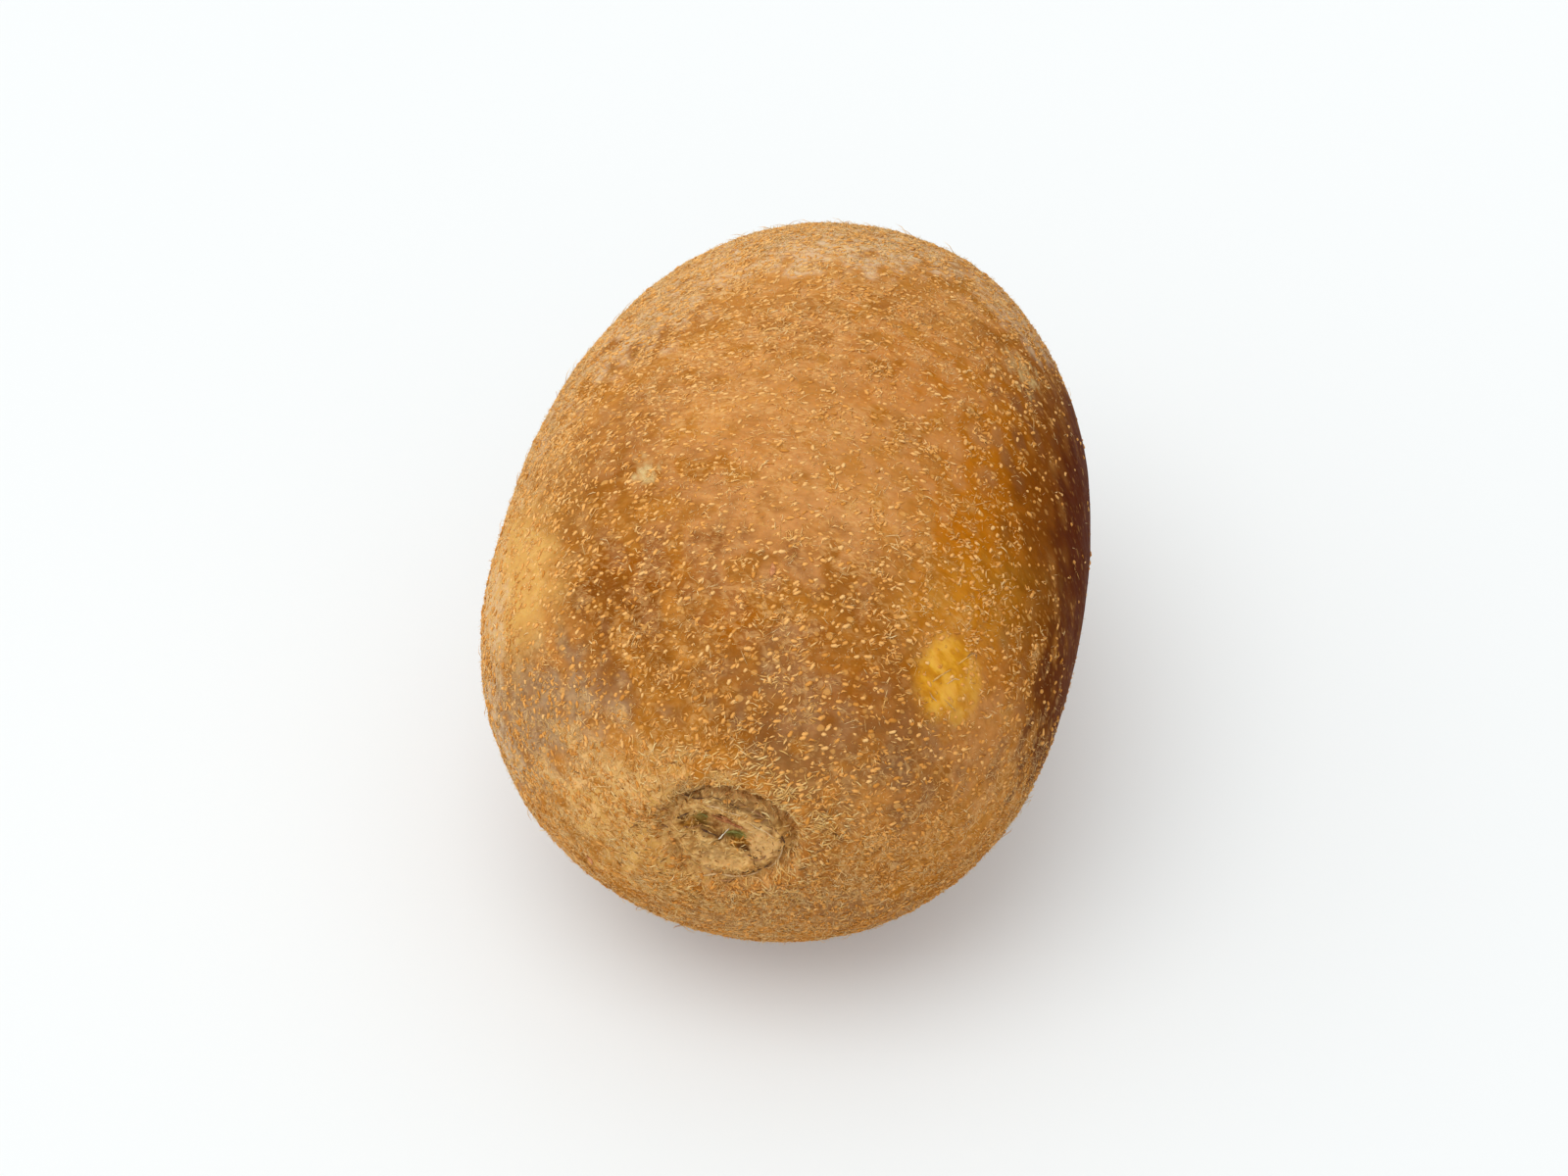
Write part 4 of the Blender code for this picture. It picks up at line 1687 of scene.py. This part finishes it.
    def build(self, grid: SkinGrid, bare: np.ndarray, fuzz: np.ndarray) -> bpy.types.Object:
        """Grows the hairs as one mesh, leaving out those that would reach the ground.

        Args:
            grid: The skin's grid.
            bare: How bare the skin is at each grid point.
            fuzz: How fuzzy it is.

        Returns:
            The new piece.
        """
        draw = np.random.default_rng(self.seed)
        tufts = self.count // self.tuft_size
        places, normals, rounds, radius = grid.draw(tufts, self.density(grid, bare, fuzz), draw)
        keep = np.repeat(self.spaced(places), self.tuft_size)
        places, normals, rounds, radius = places[keep], normals[keep], rounds[keep], radius[keep]
        scatter = self.tuft_spread * draw.normal(size=(2, len(places), 1)) * (self.tuft_size > 1)
        places = places + rounds * scatter[0] + np.cross(normals, rounds) * scatter[1]
        ways = self.ways(places, normals, rounds, radius, draw)
        lengths, radii, curls = self.sizes(len(places), draw)
        tips = places + ways * lengths[:, None]
        keep = (places[:, 2] > self.habit.root_gap) & (tips[:, 2] > self.habit.tip_gap)
        roots = places[keep] - normals[keep] * self.sink
        plan = self.shape.value
        points = plan.points(roots, ways[keep], normals[keep], lengths[keep], radii[keep], curls[keep])
        faces = plan.faces()
        triangles = faces[None] + points.shape[1] * np.arange(len(points))[:, None, None]
        corner_map = self.corner_map(roots[:, 2], faces, draw)
        piece = triangle_mesh(
            self.name, points.reshape(-1, 3), triangles.reshape(-1, 3), corner_map.reshape(-1, 2)
        )
        return settle(piece, HairFinish(self.name, self.shades).material())


HAIR_GROWTHS = (
    HairGrowth(
        name="flecks_large", shape=HairShape.SEED, count=27000, seed=101,
        lengths=(0.30 * MM, 1.00 * MM), widths=(0.20 * MM, 0.39 * MM), lift_degrees=(0.0, 5.0),
        shade=0.47, shade_spread=0.20, painted_top_light=0.22, curl=0.05, end_density=0.2, spacing=1.02 * MM,
        sink=0.05 * MM,
    ),
    HairGrowth(
        name="flecks_small", shape=HairShape.BENT, count=18500, seed=201,
        lengths=(0.30 * MM, 0.95 * MM), widths=(0.12 * MM, 0.25 * MM), lift_degrees=(0.0, 9.0),
        shade=0.50, shade_spread=0.22, painted_top_light=0.22, stray=0.7, curl=0.20, clumping=0.6, end_density=0.4,
        fuzz_density=1.6, tuft_size=2, tuft_spread=0.22 * MM,
    ),
    HairGrowth(
        name="down_curled", shape=HairShape.CURL, count=5600, seed=251,
        lengths=(0.45 * MM, 1.15 * MM), widths=(0.08 * MM, 0.14 * MM), lift_degrees=(0.0, 6.0),
        shades=DOWN_SHADES, shade=0.56, shade_spread=0.20, stray=0.9, curl=0.13, clumping=0.8,
        end_density=0.6, fuzz_density=3.0, tuft_size=2, tuft_spread=0.25 * MM,
    ),
    HairGrowth(
        name="down_lying", shape=HairShape.SPIKE, count=40000, seed=301,
        lengths=(0.35 * MM, 1.10 * MM), widths=(0.05 * MM, 0.11 * MM), lift_degrees=(2.0, 12.0),
        shades=DOWN_SHADES, shade=0.64, shade_spread=0.22, stray=0.8, clumping=0.6, end_density=0.8,
        fuzz_density=5.0, tuft_size=3, tuft_spread=0.18 * MM,
    ),
    HairGrowth(
        name="down_short", shape=HairShape.SPIKE, count=18000, seed=401,
        lengths=(0.20 * MM, 0.55 * MM), widths=(0.05 * MM, 0.11 * MM), lift_degrees=(8.0, 30.0),
        shades=DOWN_SHADES, shade_spread=0.22, stray=0.9, clumping=0.4, end_density=0.8,
        fuzz_density=4.0,
    ),
    HairGrowth(
        name="nap_standing", shape=HairShape.SPIKE, count=26000, seed=501,
        lengths=(0.20 * MM, 0.60 * MM), widths=(0.04 * MM, 0.07 * MM), lift_degrees=(35.0, 80.0),
        shades=DOWN_SHADES, shade=0.92, shade_spread=0.08, stray=0.9, clumping=0.2, end_density=0.2,
        fuzz_density=3.0,
    ),
    HairGrowth(
        name="hairs_long", shape=HairShape.BENT, count=900, seed=601,
        lengths=(0.9 * MM, 2.6 * MM), widths=(0.04 * MM, 0.07 * MM), lift_degrees=(4.0, 22.0),
        shades=DOWN_SHADES, shade=0.75, stray=0.8, curl=0.20, end_density=5.0, fuzz_density=4.0,
    ),
)


@dataclass(frozen=True)
class EndFibres:
    """Coarse fibres matted round the stem scar, or standing on the blossom end's dried foot."""

    growth: HairGrowth
    ring_radius: float
    ring_width: float
    at_stem: bool = True

    def build(self, grid: SkinGrid) -> bpy.types.Object:
        """Grows the fibres in a ring round one end, as dense as a bell of the distance from that ring.

        Args:
            grid: The skin's grid.

        Returns:
            The new piece.
        """
        distance = grid.scar_radius() if self.at_stem else grid.blossom_radius()
        elsewhere = 1 - bell(distance, self.ring_radius, self.ring_width)
        return self.growth.build(grid, elsewhere, np.zeros(distance.shape))


END_FIBRES = (
    EndFibres(
        HairGrowth(
            name="scar_fibres", shape=HairShape.CURL, count=1800, seed=701,
            lengths=(0.40 * MM, 1.40 * MM), widths=(0.08 * MM, 0.17 * MM), lift_degrees=(0.0, 6.0),
            shades=FIBRE_SHADES, shade=0.58, shade_spread=0.26, stray=0.7, curl=0.10, end_density=0.0,
        ),
        ring_radius=7.2 * MM,
        ring_width=2.3 * MM,
    ),
    EndFibres(
        HairGrowth(
            name="disc_fibres", shape=HairShape.BENT, count=500, seed=751,
            lengths=(0.25 * MM, 0.80 * MM), widths=(0.06 * MM, 0.13 * MM), lift_degrees=(0.0, 25.0),
            shades=FIBRE_SHADES, shade=0.50, shade_spread=0.28, stray=1.0, end_density=0.0,
        ),
        ring_radius=2.6 * MM,
        ring_width=1.8 * MM,
    ),
    EndFibres(
        HairGrowth(
            name="blossom_fibres", shape=HairShape.BENT, count=420, seed=801,
            lengths=(0.4 * MM, 1.1 * MM), widths=(0.10 * MM, 0.22 * MM), lift_degrees=(10.0, 60.0),
            shades=FIBRE_SHADES, shade=0.34, shade_spread=0.22, stray=1.4, end_density=0.0,
        ),
        ring_radius=0.6 * MM,
        ring_width=1.3 * MM,
        at_stem=False,
    ),
)


class Tone(Enum):
    """The finish of a strand in the scar: a name, and the colours from its darkest to its lightest."""

    CREAM = ("scar_lip", ((0.0, (0.48, 0.28, 0.11)), (1.0, (0.80, 0.56, 0.28))))
    GOLD = ("scar_gold", ((0.0, (0.44, 0.22, 0.05)), (1.0, (0.78, 0.47, 0.13))))
    # Dark strands are painted shade in the sunken ring, beside the lips and in a small hole in the pit.
    DARK = ("scar_dark", ((0.0, (0.045, 0.018, 0.006)), (1.0, (0.15, 0.06, 0.016))))
    BROWN = ("scar_brown", ((0.0, (0.20, 0.080, 0.020)), (1.0, (0.44, 0.21, 0.060))))
    RED = ("scar_red", ((0.0, (0.36, 0.110, 0.028)), (1.0, (0.72, 0.31, 0.110))))
    GREEN = ("scar_green", ((0.0, (0.190, 0.175, 0.032)), (1.0, (0.36, 0.35, 0.095))))
    GLINT = ("scar_glint", ((0.0, (0.78, 0.68, 0.46)), (1.0, (0.95, 0.92, 0.80))))


@dataclass(frozen=True)
class Strand:
    """One torn strand, stray hair, or dark line of painted shade, which follows pixels of the photograph over
    the skin.

    Attributes:
        tone: Its finish.
        width: Its width where it is thickest.
        lift: How far off the skin its centre line is.
        pixels: Where it passes.
        flatness: How high it is for its width.
        arch: How much higher its middle is than its ends.
    """

    tone: Tone
    width: float
    lift: float
    pixels: tuple[Pixel, ...]
    flatness: float = 0.7
    arch: float = 0.0


STRANDS = (
    Strand(Tone.CREAM, 0.13 * MM, 0.06 * MM, (
        (630.0, 1000.4), (631.9, 1005.0), (630.0, 1010.5), (627.9, 1014.2), (622.9, 1017.2),
    )),
    Strand(Tone.CREAM, 0.16 * MM, 0.05 * MM, (
        (617.1, 1019.2), (610.5, 1021.6), (602.2, 1021.9), (593.9, 1020.0), (586.4, 1021.2),
        (579.8, 1022.2),
    )),
    Strand(Tone.DARK, 0.13 * MM, 0.02 * MM, (
        (608.0, 1019.6), (614.5, 1018.8), (621.3, 1016.6), (625.4, 1013.0),
    )),
    Strand(Tone.DARK, 0.14 * MM, 0.03 * MM, ((631.4, 997.4), (633.2, 1001.4), (632.6, 1004.2))),
    Strand(Tone.BROWN, 0.20 * MM, 0.02 * MM, ((590.0, 1023.2), (596.0, 1024.6), (604.0, 1023.8))),
    Strand(Tone.DARK, 0.12 * MM, 0.03 * MM, (
        (569.5, 972.4), (575.0, 973.0), (579.0, 975.2), (585.0, 974.6),
    )),
    Strand(Tone.DARK, 0.17 * MM, 0.03 * MM, (
        (588.0, 973.8), (594.0, 975.0), (599.0, 977.0), (603.0, 979.6), (606.0, 981.2),
    )),
    Strand(Tone.BROWN, 0.28 * MM, 0.05 * MM, (
        (601.0, 976.2), (608.0, 978.6), (615.0, 982.2), (621.0, 985.6), (627.0, 990.6),
    )),
    Strand(Tone.BROWN, 0.12 * MM, 0.08 * MM, (
        (611.0, 983.2), (615.6, 985.8), (619.2, 986.2), (622.6, 983.8),
    )),
    Strand(Tone.BROWN, 0.11 * MM, 0.08 * MM, (
        (614.6, 988.2), (618.4, 989.8), (622.2, 987.2), (624.8, 988.4),
    )),
    Strand(Tone.BROWN, 0.18 * MM, 0.04 * MM, (
        (622.0, 991.2), (627.0, 993.0), (630.0, 996.0), (631.8, 1000.6),
    )),
    Strand(Tone.CREAM, 0.20 * MM, 0.05 * MM, (
        (586.4, 978.9), (593.0, 980.2), (599.7, 983.1), (606.3, 985.1),
    )),
    Strand(Tone.CREAM, 0.14 * MM, 0.05 * MM, (
        (611.0, 988.6), (616.0, 992.0), (622.0, 994.6), (627.0, 998.6),
    )),
    Strand(Tone.RED, 0.30 * MM, 0.10 * MM, (
        (589.8, 984.8), (594.7, 987.2), (599.7, 988.6), (604.7, 991.8), (608.0, 992.4),
    ), flatness=0.35),
    Strand(Tone.RED, 0.16 * MM, 0.16 * MM, ((592.0, 984.0), (597.0, 985.6), (602.5, 988.6)), flatness=0.5),
    # This dark blob in the pit paints the shade of a small hole.
    Strand(Tone.DARK, 0.26 * MM, 0.08 * MM, ((593.4, 984.6), (594.8, 985.2), (596.2, 985.4)), flatness=0.6),
    Strand(Tone.GLINT, 0.11 * MM, 0.12 * MM, (
        (593.1, 998.8), (594.3, 996.7), (596.4, 994.3), (599.3, 992.8),
    ), flatness=1.0, arch=0.35 * MM),
    Strand(Tone.GREEN, 0.24 * MM, 0.08 * MM, (
        (597.2, 995.4), (601.4, 994.7), (606.3, 995.5), (610.1, 997.6),
    ), flatness=0.6),
    Strand(Tone.GREEN, 0.12 * MM, 0.05 * MM, (
        (581.0, 984.6), (584.0, 984.2), (587.0, 986.2),
    ), flatness=0.5),
    Strand(Tone.GOLD, 0.15 * MM, 0.08 * MM, ((600.4, 999.4), (604.4, 1001.6), (609.0, 1001.2))),
    Strand(Tone.GOLD, 0.18 * MM, 0.06 * MM, (
        (567.4, 1002.1), (570.7, 1007.1), (574.8, 1011.3), (581.5, 1015.4),
    )),
    Strand(Tone.GOLD, 0.14 * MM, 0.06 * MM, ((570.0, 1000.0), (573.6, 1005.4), (578.6, 1009.0))),
    Strand(Tone.GOLD, 0.18 * MM, 0.08 * MM, ((575.6, 976.4), (581.5, 977.3), (588.1, 981.4))),
    Strand(Tone.GOLD, 0.16 * MM, 0.08 * MM, ((584.0, 990.6), (588.6, 992.2), (592.0, 994.6))),
    Strand(Tone.GOLD, 0.16 * MM, 0.06 * MM, ((598.0, 1010.2), (603.0, 1008.6), (608.0, 1010.4))),
    Strand(Tone.CREAM, 0.16 * MM, 0.04 * MM, ((586.0, 1016.6), (588.6, 1018.0), (590.4, 1017.0))),
    Strand(Tone.DARK, 0.18 * MM, 0.05 * MM, ((569.6, 986.8), (571.6, 984.8), (575.0, 983.6))),
    Strand(Tone.DARK, 0.15 * MM, 0.05 * MM, ((583.0, 993.6), (588.1, 995.6), (592.2, 997.4))),
    Strand(Tone.BROWN, 0.18 * MM, 0.05 * MM, ((572.0, 991.6), (578.0, 992.6), (583.6, 990.0))),
    Strand(Tone.BROWN, 0.12 * MM, 0.04 * MM, ((554.6, 979.6), (558.0, 982.0), (560.4, 980.0))),
    Strand(Tone.BROWN, 0.16 * MM, 0.04 * MM, ((555.6, 992.0), (559.6, 990.6), (563.0, 992.4))),
    Strand(Tone.BROWN, 0.16 * MM, 0.03 * MM, ((612.6, 1011.4), (618.0, 1012.2), (622.0, 1009.6))),
    Strand(Tone.DARK, 0.11 * MM, 0.03 * MM, ((611.0, 1008.8), (616.0, 1010.6), (619.6, 1009.6))),
    Strand(Tone.BROWN, 0.12 * MM, 0.05 * MM, (
        (743.0, 889.4), (745.6, 886.8), (748.6, 887.8), (748.2, 891.2),
    )),
    Strand(Tone.GOLD, 0.14 * MM, 0.03 * MM, ((722.5, 904.0), (727.0, 900.6), (733.5, 896.8))),
    Strand(Tone.CREAM, 0.10 * MM, 0.03 * MM, ((720.5, 910.5), (722.0, 913.6), (724.6, 916.0))),
    Strand(Tone.GOLD, 0.12 * MM, 0.03 * MM, ((738.0, 893.4), (742.6, 890.0), (746.4, 887.6))),
    Strand(Tone.CREAM, 0.09 * MM, 0.03 * MM, ((731.0, 905.6), (735.6, 902.4), (738.4, 903.2))),
    Strand(Tone.GOLD, 0.10 * MM, 0.03 * MM, ((729.0, 915.0), (733.0, 918.4), (736.0, 922.0))),
    Strand(Tone.RED, 0.34 * MM, 0.06 * MM, ((626.2, 833.4), (626.6, 836.6), (625.4, 840.6)), flatness=0.5),
    Strand(Tone.RED, 0.30 * MM, 0.06 * MM, (
        (513.8, 1009.0), (516.2, 1011.4), (517.4, 1014.4),
    ), flatness=0.6),
)


@dataclass(frozen=True)
class ScarStrands:
    """The torn strands and lips in the scar, dark lines of painted shade in its creases and pit, and a few
    stray hairs, as thin tubes, by tone.
    """

    camera: PhotoCamera
    samples: int = 15
    sides: int = 7
    smoothing_passes: int = 2
    first_place: float = 0.06
    last_place: float = 0.94
    bluntness: float = 0.45
    waver: float = 0.22
    waver_length: float = 0.7 * MM
    waver_seed: int = 41
    map_size: float = 20.0 * MM
    grain: Grain = Grain(2600.0, 3.0, 0.65, band=(0.32, 0.68), height=0.05 * MM)
    roughness: float = 0.55
    shine: float = 0.35

    def centre_line(self, grid: SkinGrid, strand: Strand) -> tuple[np.ndarray, np.ndarray]:
        """A strand's centre line over the skin.

        The pixels land on the skin, and a line runs through them: linear interpolation along their chord
        lengths, then a few passes of averaging with the neighbours. An arched strand rises as a sine.

        Args:
            grid: The skin's grid.
            strand: The strand.

        Returns:
            The line's points and the skin's normals along it.
        """
        landings = [grid.landing(self.camera, pixel) for pixel in strand.pixels]
        marks = np.array([landing[0] for landing in landings])
        ups = np.array([landing[1] for landing in landings])
        chord = np.concatenate([[0.0], np.cumsum(np.linalg.norm(np.diff(marks, axis=0), axis=1))])
        at = np.linspace(0.0, chord[-1], self.samples)
        line = np.stack([np.interp(at, chord, marks[:, axis]) for axis in range(3)], axis=1)
        up = unit(np.stack([np.interp(at, chord, ups[:, axis]) for axis in range(3)], axis=1))
        for _ in range(self.smoothing_passes):
            line[1:-1] = (line[:-2] + 2 * line[1:-1] + line[2:]) / 4
        arch = strand.arch * np.sin(math.pi * at / chord[-1])
        return line + up * (strand.lift + arch)[:, None], up

    def tube(self, grid: SkinGrid, strand: Strand) -> tuple[np.ndarray, np.ndarray]:
        """A strand's surface: rings round its centre line that narrow to a point at both ends.

        The half width follows a power of a sine, with a small random waver.

        Args:
            grid: The skin's grid.
            strand: The strand.

        Returns:
            The points, ring by ring and then the two end points, and the triangles.
        """
        line, up = self.centre_line(grid, strand)
        way = unit(np.gradient(line, axis=0))
        side = unit(np.cross(way, up))
        over = np.cross(side, way)
        place = np.linspace(self.first_place, self.last_place, self.samples)
        waver = 1 + self.waver * WaveNoise(self.waver_seed, self.waver_length).at(line)
        half = 0.5 * strand.width * np.sin(math.pi * place) ** self.bluntness * waver
        turn = np.arange(self.sides) * (2 * math.pi / self.sides)
        flat = side[:, None] * np.cos(turn)[None, :, None]
        high = over[:, None] * (strand.flatness * np.sin(turn))[None, :, None]
        rings = line[:, None] + (flat + high) * half[:, None, None]
        ends = np.array([line[0] - way[0] * half[0], line[-1] + way[-1] * half[-1]])
        ring, k = np.meshgrid(np.arange(self.samples - 1), np.arange(self.sides), indexing="ij")
        low, beside = ring * self.sides + k, ring * self.sides + (k + 1) % self.sides
        bands = [(low, beside + self.sides, beside), (low, low + self.sides, beside + self.sides)]
        faces = [np.stack(band, axis=-1).reshape(-1, 3) for band in bands]
        k, after = np.arange(self.sides), (np.arange(self.sides) + 1) % self.sides
        first, last = self.samples * self.sides, (self.samples - 1) * self.sides
        faces.append(np.stack([k, after, np.full(self.sides, first)], axis=-1))
        faces.append(np.stack([last + after, last + k, np.full(self.sides, first + 1)], axis=-1))
        return np.concatenate([rings.reshape(-1, 3), ends]), np.concatenate(faces)

    def finish(self, tone: Tone) -> bpy.types.Material:
        """The strand's material: its tone's colours by a fine noise, with a fibrous bump."""
        name, stops = tone.value
        board = NodeBoard(name)
        noise = board.noise(self.grain)
        colour = board.ramp(board.grained(self.grain, noise), stops)
        normal = board.bump(noise, self.grain.height)
        return board.finish(colour, self.roughness, normal, Specular_IOR_Level=self.shine)

    def build(self, grid: SkinGrid) -> list[bpy.types.Object]:
        """Makes one piece for each tone.

        Args:
            grid: The skin's grid.

        Returns:
            The new pieces.
        """
        pieces = []
        for tone in Tone:
            points, faces, total = [], [], 0
            for strand in STRANDS:
                if strand.tone is tone:
                    strand_points, strand_faces = self.tube(grid, strand)
                    points.append(strand_points)
                    faces.append(strand_faces + total)
                    total += len(strand_points)
            triangles = np.concatenate(faces)
            spots = np.concatenate(points)
            corner_map = (spots[triangles.ravel()][:, [0, 2]] / self.map_size) % 1.0
            piece = triangle_mesh(tone.value[0], spots, triangles, corner_map)
            pieces.append(settle(piece, self.finish(tone)))
        return pieces


@dataclass(frozen=True)
class FruitSkin:
    """The skin as one fine surface, with its tints and scar mask, standing for the solid."""

    finish: SkinFinish = SkinFinish()
    disc_edge: Pair = (6.0 * MM, 4.7 * MM)
    edge_wander: float = 0.22 * MM
    edge_length: float = 1.1 * MM
    edge_seed: int = 22

    def build(self, grid: SkinGrid, tints: SkinTints) -> bpy.types.Object:
        """Makes the skin's mesh and dresses it.

        Args:
            grid: The skin's grid.
            tints: The strength of each tint.

        Returns:
            The new piece, which stands for the solid.
        """
        triangles, corner_map = grid.triangles()
        numbers = {tint.value: grid.flat(values) for tint, values in tints.strengths.items()}
        wander = self.edge_wander * WaveNoise(self.edge_seed, self.edge_length).at(grid.points)
        disc = smooth_step(grid.scar_radius() + wander, *self.disc_edge)
        numbers[SCAR_DISC] = grid.flat(disc)
        piece = triangle_mesh("fruit_skin", grid.flat(grid.points), triangles, corner_map, numbers)
        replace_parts(settle(piece, self.finish.material()), NODE)
        return piece


@dataclass(frozen=True)
class Studio:
    """The plain pale floor, the soft light from above and the camera at the photograph's angle."""

    camera: PhotoCamera
    aim_px: Pixel = (633.0, 848.0)
    zoom: float = 1.7
    sensor: float = 36.0
    clip: Pair = (0.01, 20.0)
    floor_half: float = 2.5
    floor_colour: Colour = (0.842, 0.866, 0.872)
    floor_glow: float = 0.24
    floor_levels: Pair = (1.0, 0.985)
    floor_grain: Grain = Grain(6.0)
    floor_roughness: float = 0.7
    floor_shine: float = 0.2
    key_way: Triple = (-0.16, -0.26, 0.95)
    shade_way: Triple = (0.94, 0.15, -0.30)
    sky_low: float = 0.76
    sky_high: float = 1.10
    sky_shaded: float = 0.10
    sky_colour: Colour = (0.985, 0.995, 1.0)
    sun_strength: float = 1.02
    sun_angle: float = math.radians(46.0)
    sun_colour: Colour = (1.0, 0.985, 0.955)

    def build_floor(self) -> None:
        """Makes the floor: a wide plane with a slightly uneven matt finish."""
        half = self.floor_half
        corners = np.array([[-half, -half, 0], [half, -half, 0], [half, half, 0], [-half, half, 0]])
        faces = np.array([[0, 1, 2], [0, 2, 3]])
        floor = triangle_mesh("floor", corners, faces, corners[faces.ravel(), :2] / (2 * half) + 0.5)
        board = NodeBoard("studio_floor")
        share = 1 - self.floor_glow
        shades = (tuple(share * tone * level for tone in self.floor_colour) for level in self.floor_levels)
        colour = board.mix(board.noise(self.floor_grain), *shades)
        material = board.finish(
            colour,
            self.floor_roughness,
            Specular_IOR_Level=self.floor_shine,
            Emission_Color=self.floor_colour,
            Emission_Strength=self.floor_glow,
        )
        floor.data.materials.append(material)

    def build_light(self) -> None:
        """Makes the light: a wide sun, and a pale sky, brightest towards the sun and dim on one side."""
        key = Vector(self.key_way).normalized()
        world = bpy.data.worlds.new("studio_sky")
        bpy.context.scene.world = world
        world.use_nodes = True
        nodes, links = world.node_tree.nodes, world.node_tree.links
        background = nodes["Background"]
        background.inputs["Color"].default_value = (*self.sky_colour, 1.0)
        way = nodes.new("ShaderNodeTexCoord").outputs["Generated"]
        shaded = Vector(self.shade_way).normalized()
        gates = ((key, self.sky_low, self.sky_high), (shaded, 1.0, self.sky_shaded))
        strength = nodes.new("ShaderNodeMath")
        strength.operation = "MULTIPLY"
        for socket, (centre, low, high) in zip(strength.inputs, gates):
            towards = nodes.new("ShaderNodeVectorMath")
            towards.operation = "DOT_PRODUCT"
            links.new(way, towards.inputs[0])
            towards.inputs[1].default_value = centre
            rise = nodes.new("ShaderNodeMapRange")
            rise.interpolation_type = "SMOOTHSTEP"
            links.new(towards.outputs["Value"], rise.inputs["Value"])
            rise.inputs["To Min"].default_value = low
            rise.inputs["To Max"].default_value = high
            links.new(rise.outputs["Result"], socket)
        links.new(strength.outputs["Value"], background.inputs["Strength"])
        sun = bpy.data.lights.new("softbox", "SUN")
        sun.energy = self.sun_strength
        sun.angle = self.sun_angle
        sun.color = self.sun_colour
        lamp = bpy.data.objects.new("softbox", sun)
        lamp.rotation_euler = key.to_track_quat("Z", "Y").to_euler()
        bpy.context.scene.collection.objects.link(lamp)

    def build_camera(self, anchor: np.ndarray) -> None:
        """Puts the camera where the photograph's stood, turned to the fruit by the least turn.

        Args:
            anchor: The middle of the fruit's widest section.
        """
        right, up, back = (Vector(axis) for axis in self.camera.axes())
        turn = back.rotation_difference(Vector(-self.camera.ray(self.aim_px)))
        axes = Matrix([turn @ right, turn @ up, turn @ back]).transposed()
        lens = bpy.data.cameras.new("camera")
        lens.sensor_width = self.sensor
        lens.lens = self.sensor * self.camera.focal_px * self.zoom / self.camera.width_px
        lens.clip_start, lens.clip_end = self.clip
        camera = bpy.data.objects.new("camera", lens)
        camera.matrix_world = Matrix.Translation(Vector(self.camera.place(anchor))) @ axes.to_4x4()
        bpy.context.scene.collection.objects.link(camera)
        bpy.context.scene.camera = camera

    def build(self, anchor: np.ndarray) -> None:
        """Makes the floor, the light and the camera."""
        self.build_floor()
        self.build_light()
        self.build_camera(anchor)
        bpy.context.scene.view_settings.view_transform = "Standard"


def main() -> None:
    """Builds the fruit and its studio, and reports each piece."""
    logging.basicConfig(level=logging.INFO, format="%(name)s: %(message)s")
    camera = PhotoCamera()
    grid = SkinGrid(BodyForm(), GridSpacing())
    tints = SkinTints(grid, camera)
    bare, fuzz = tints.bareness(grid), tints.strengths[Tint.FUZZ]
    pieces = [FruitSkin().build(grid, tints)]
    pieces += [growth.build(grid, bare, fuzz) for growth in HAIR_GROWTHS]
    pieces += [fibres.build(grid) for fibres in END_FIBRES]
    pieces += ScarStrands(camera).build(grid)
    Studio(camera).build(grid.anchor)
    for piece in pieces:
        LOG.info("%s: %d triangles", piece.name, len(piece.data.polygons))
    LOG.info("all pieces: %d triangles", sum(len(piece.data.polygons) for piece in pieces))


if __name__ == "__main__":
    main()
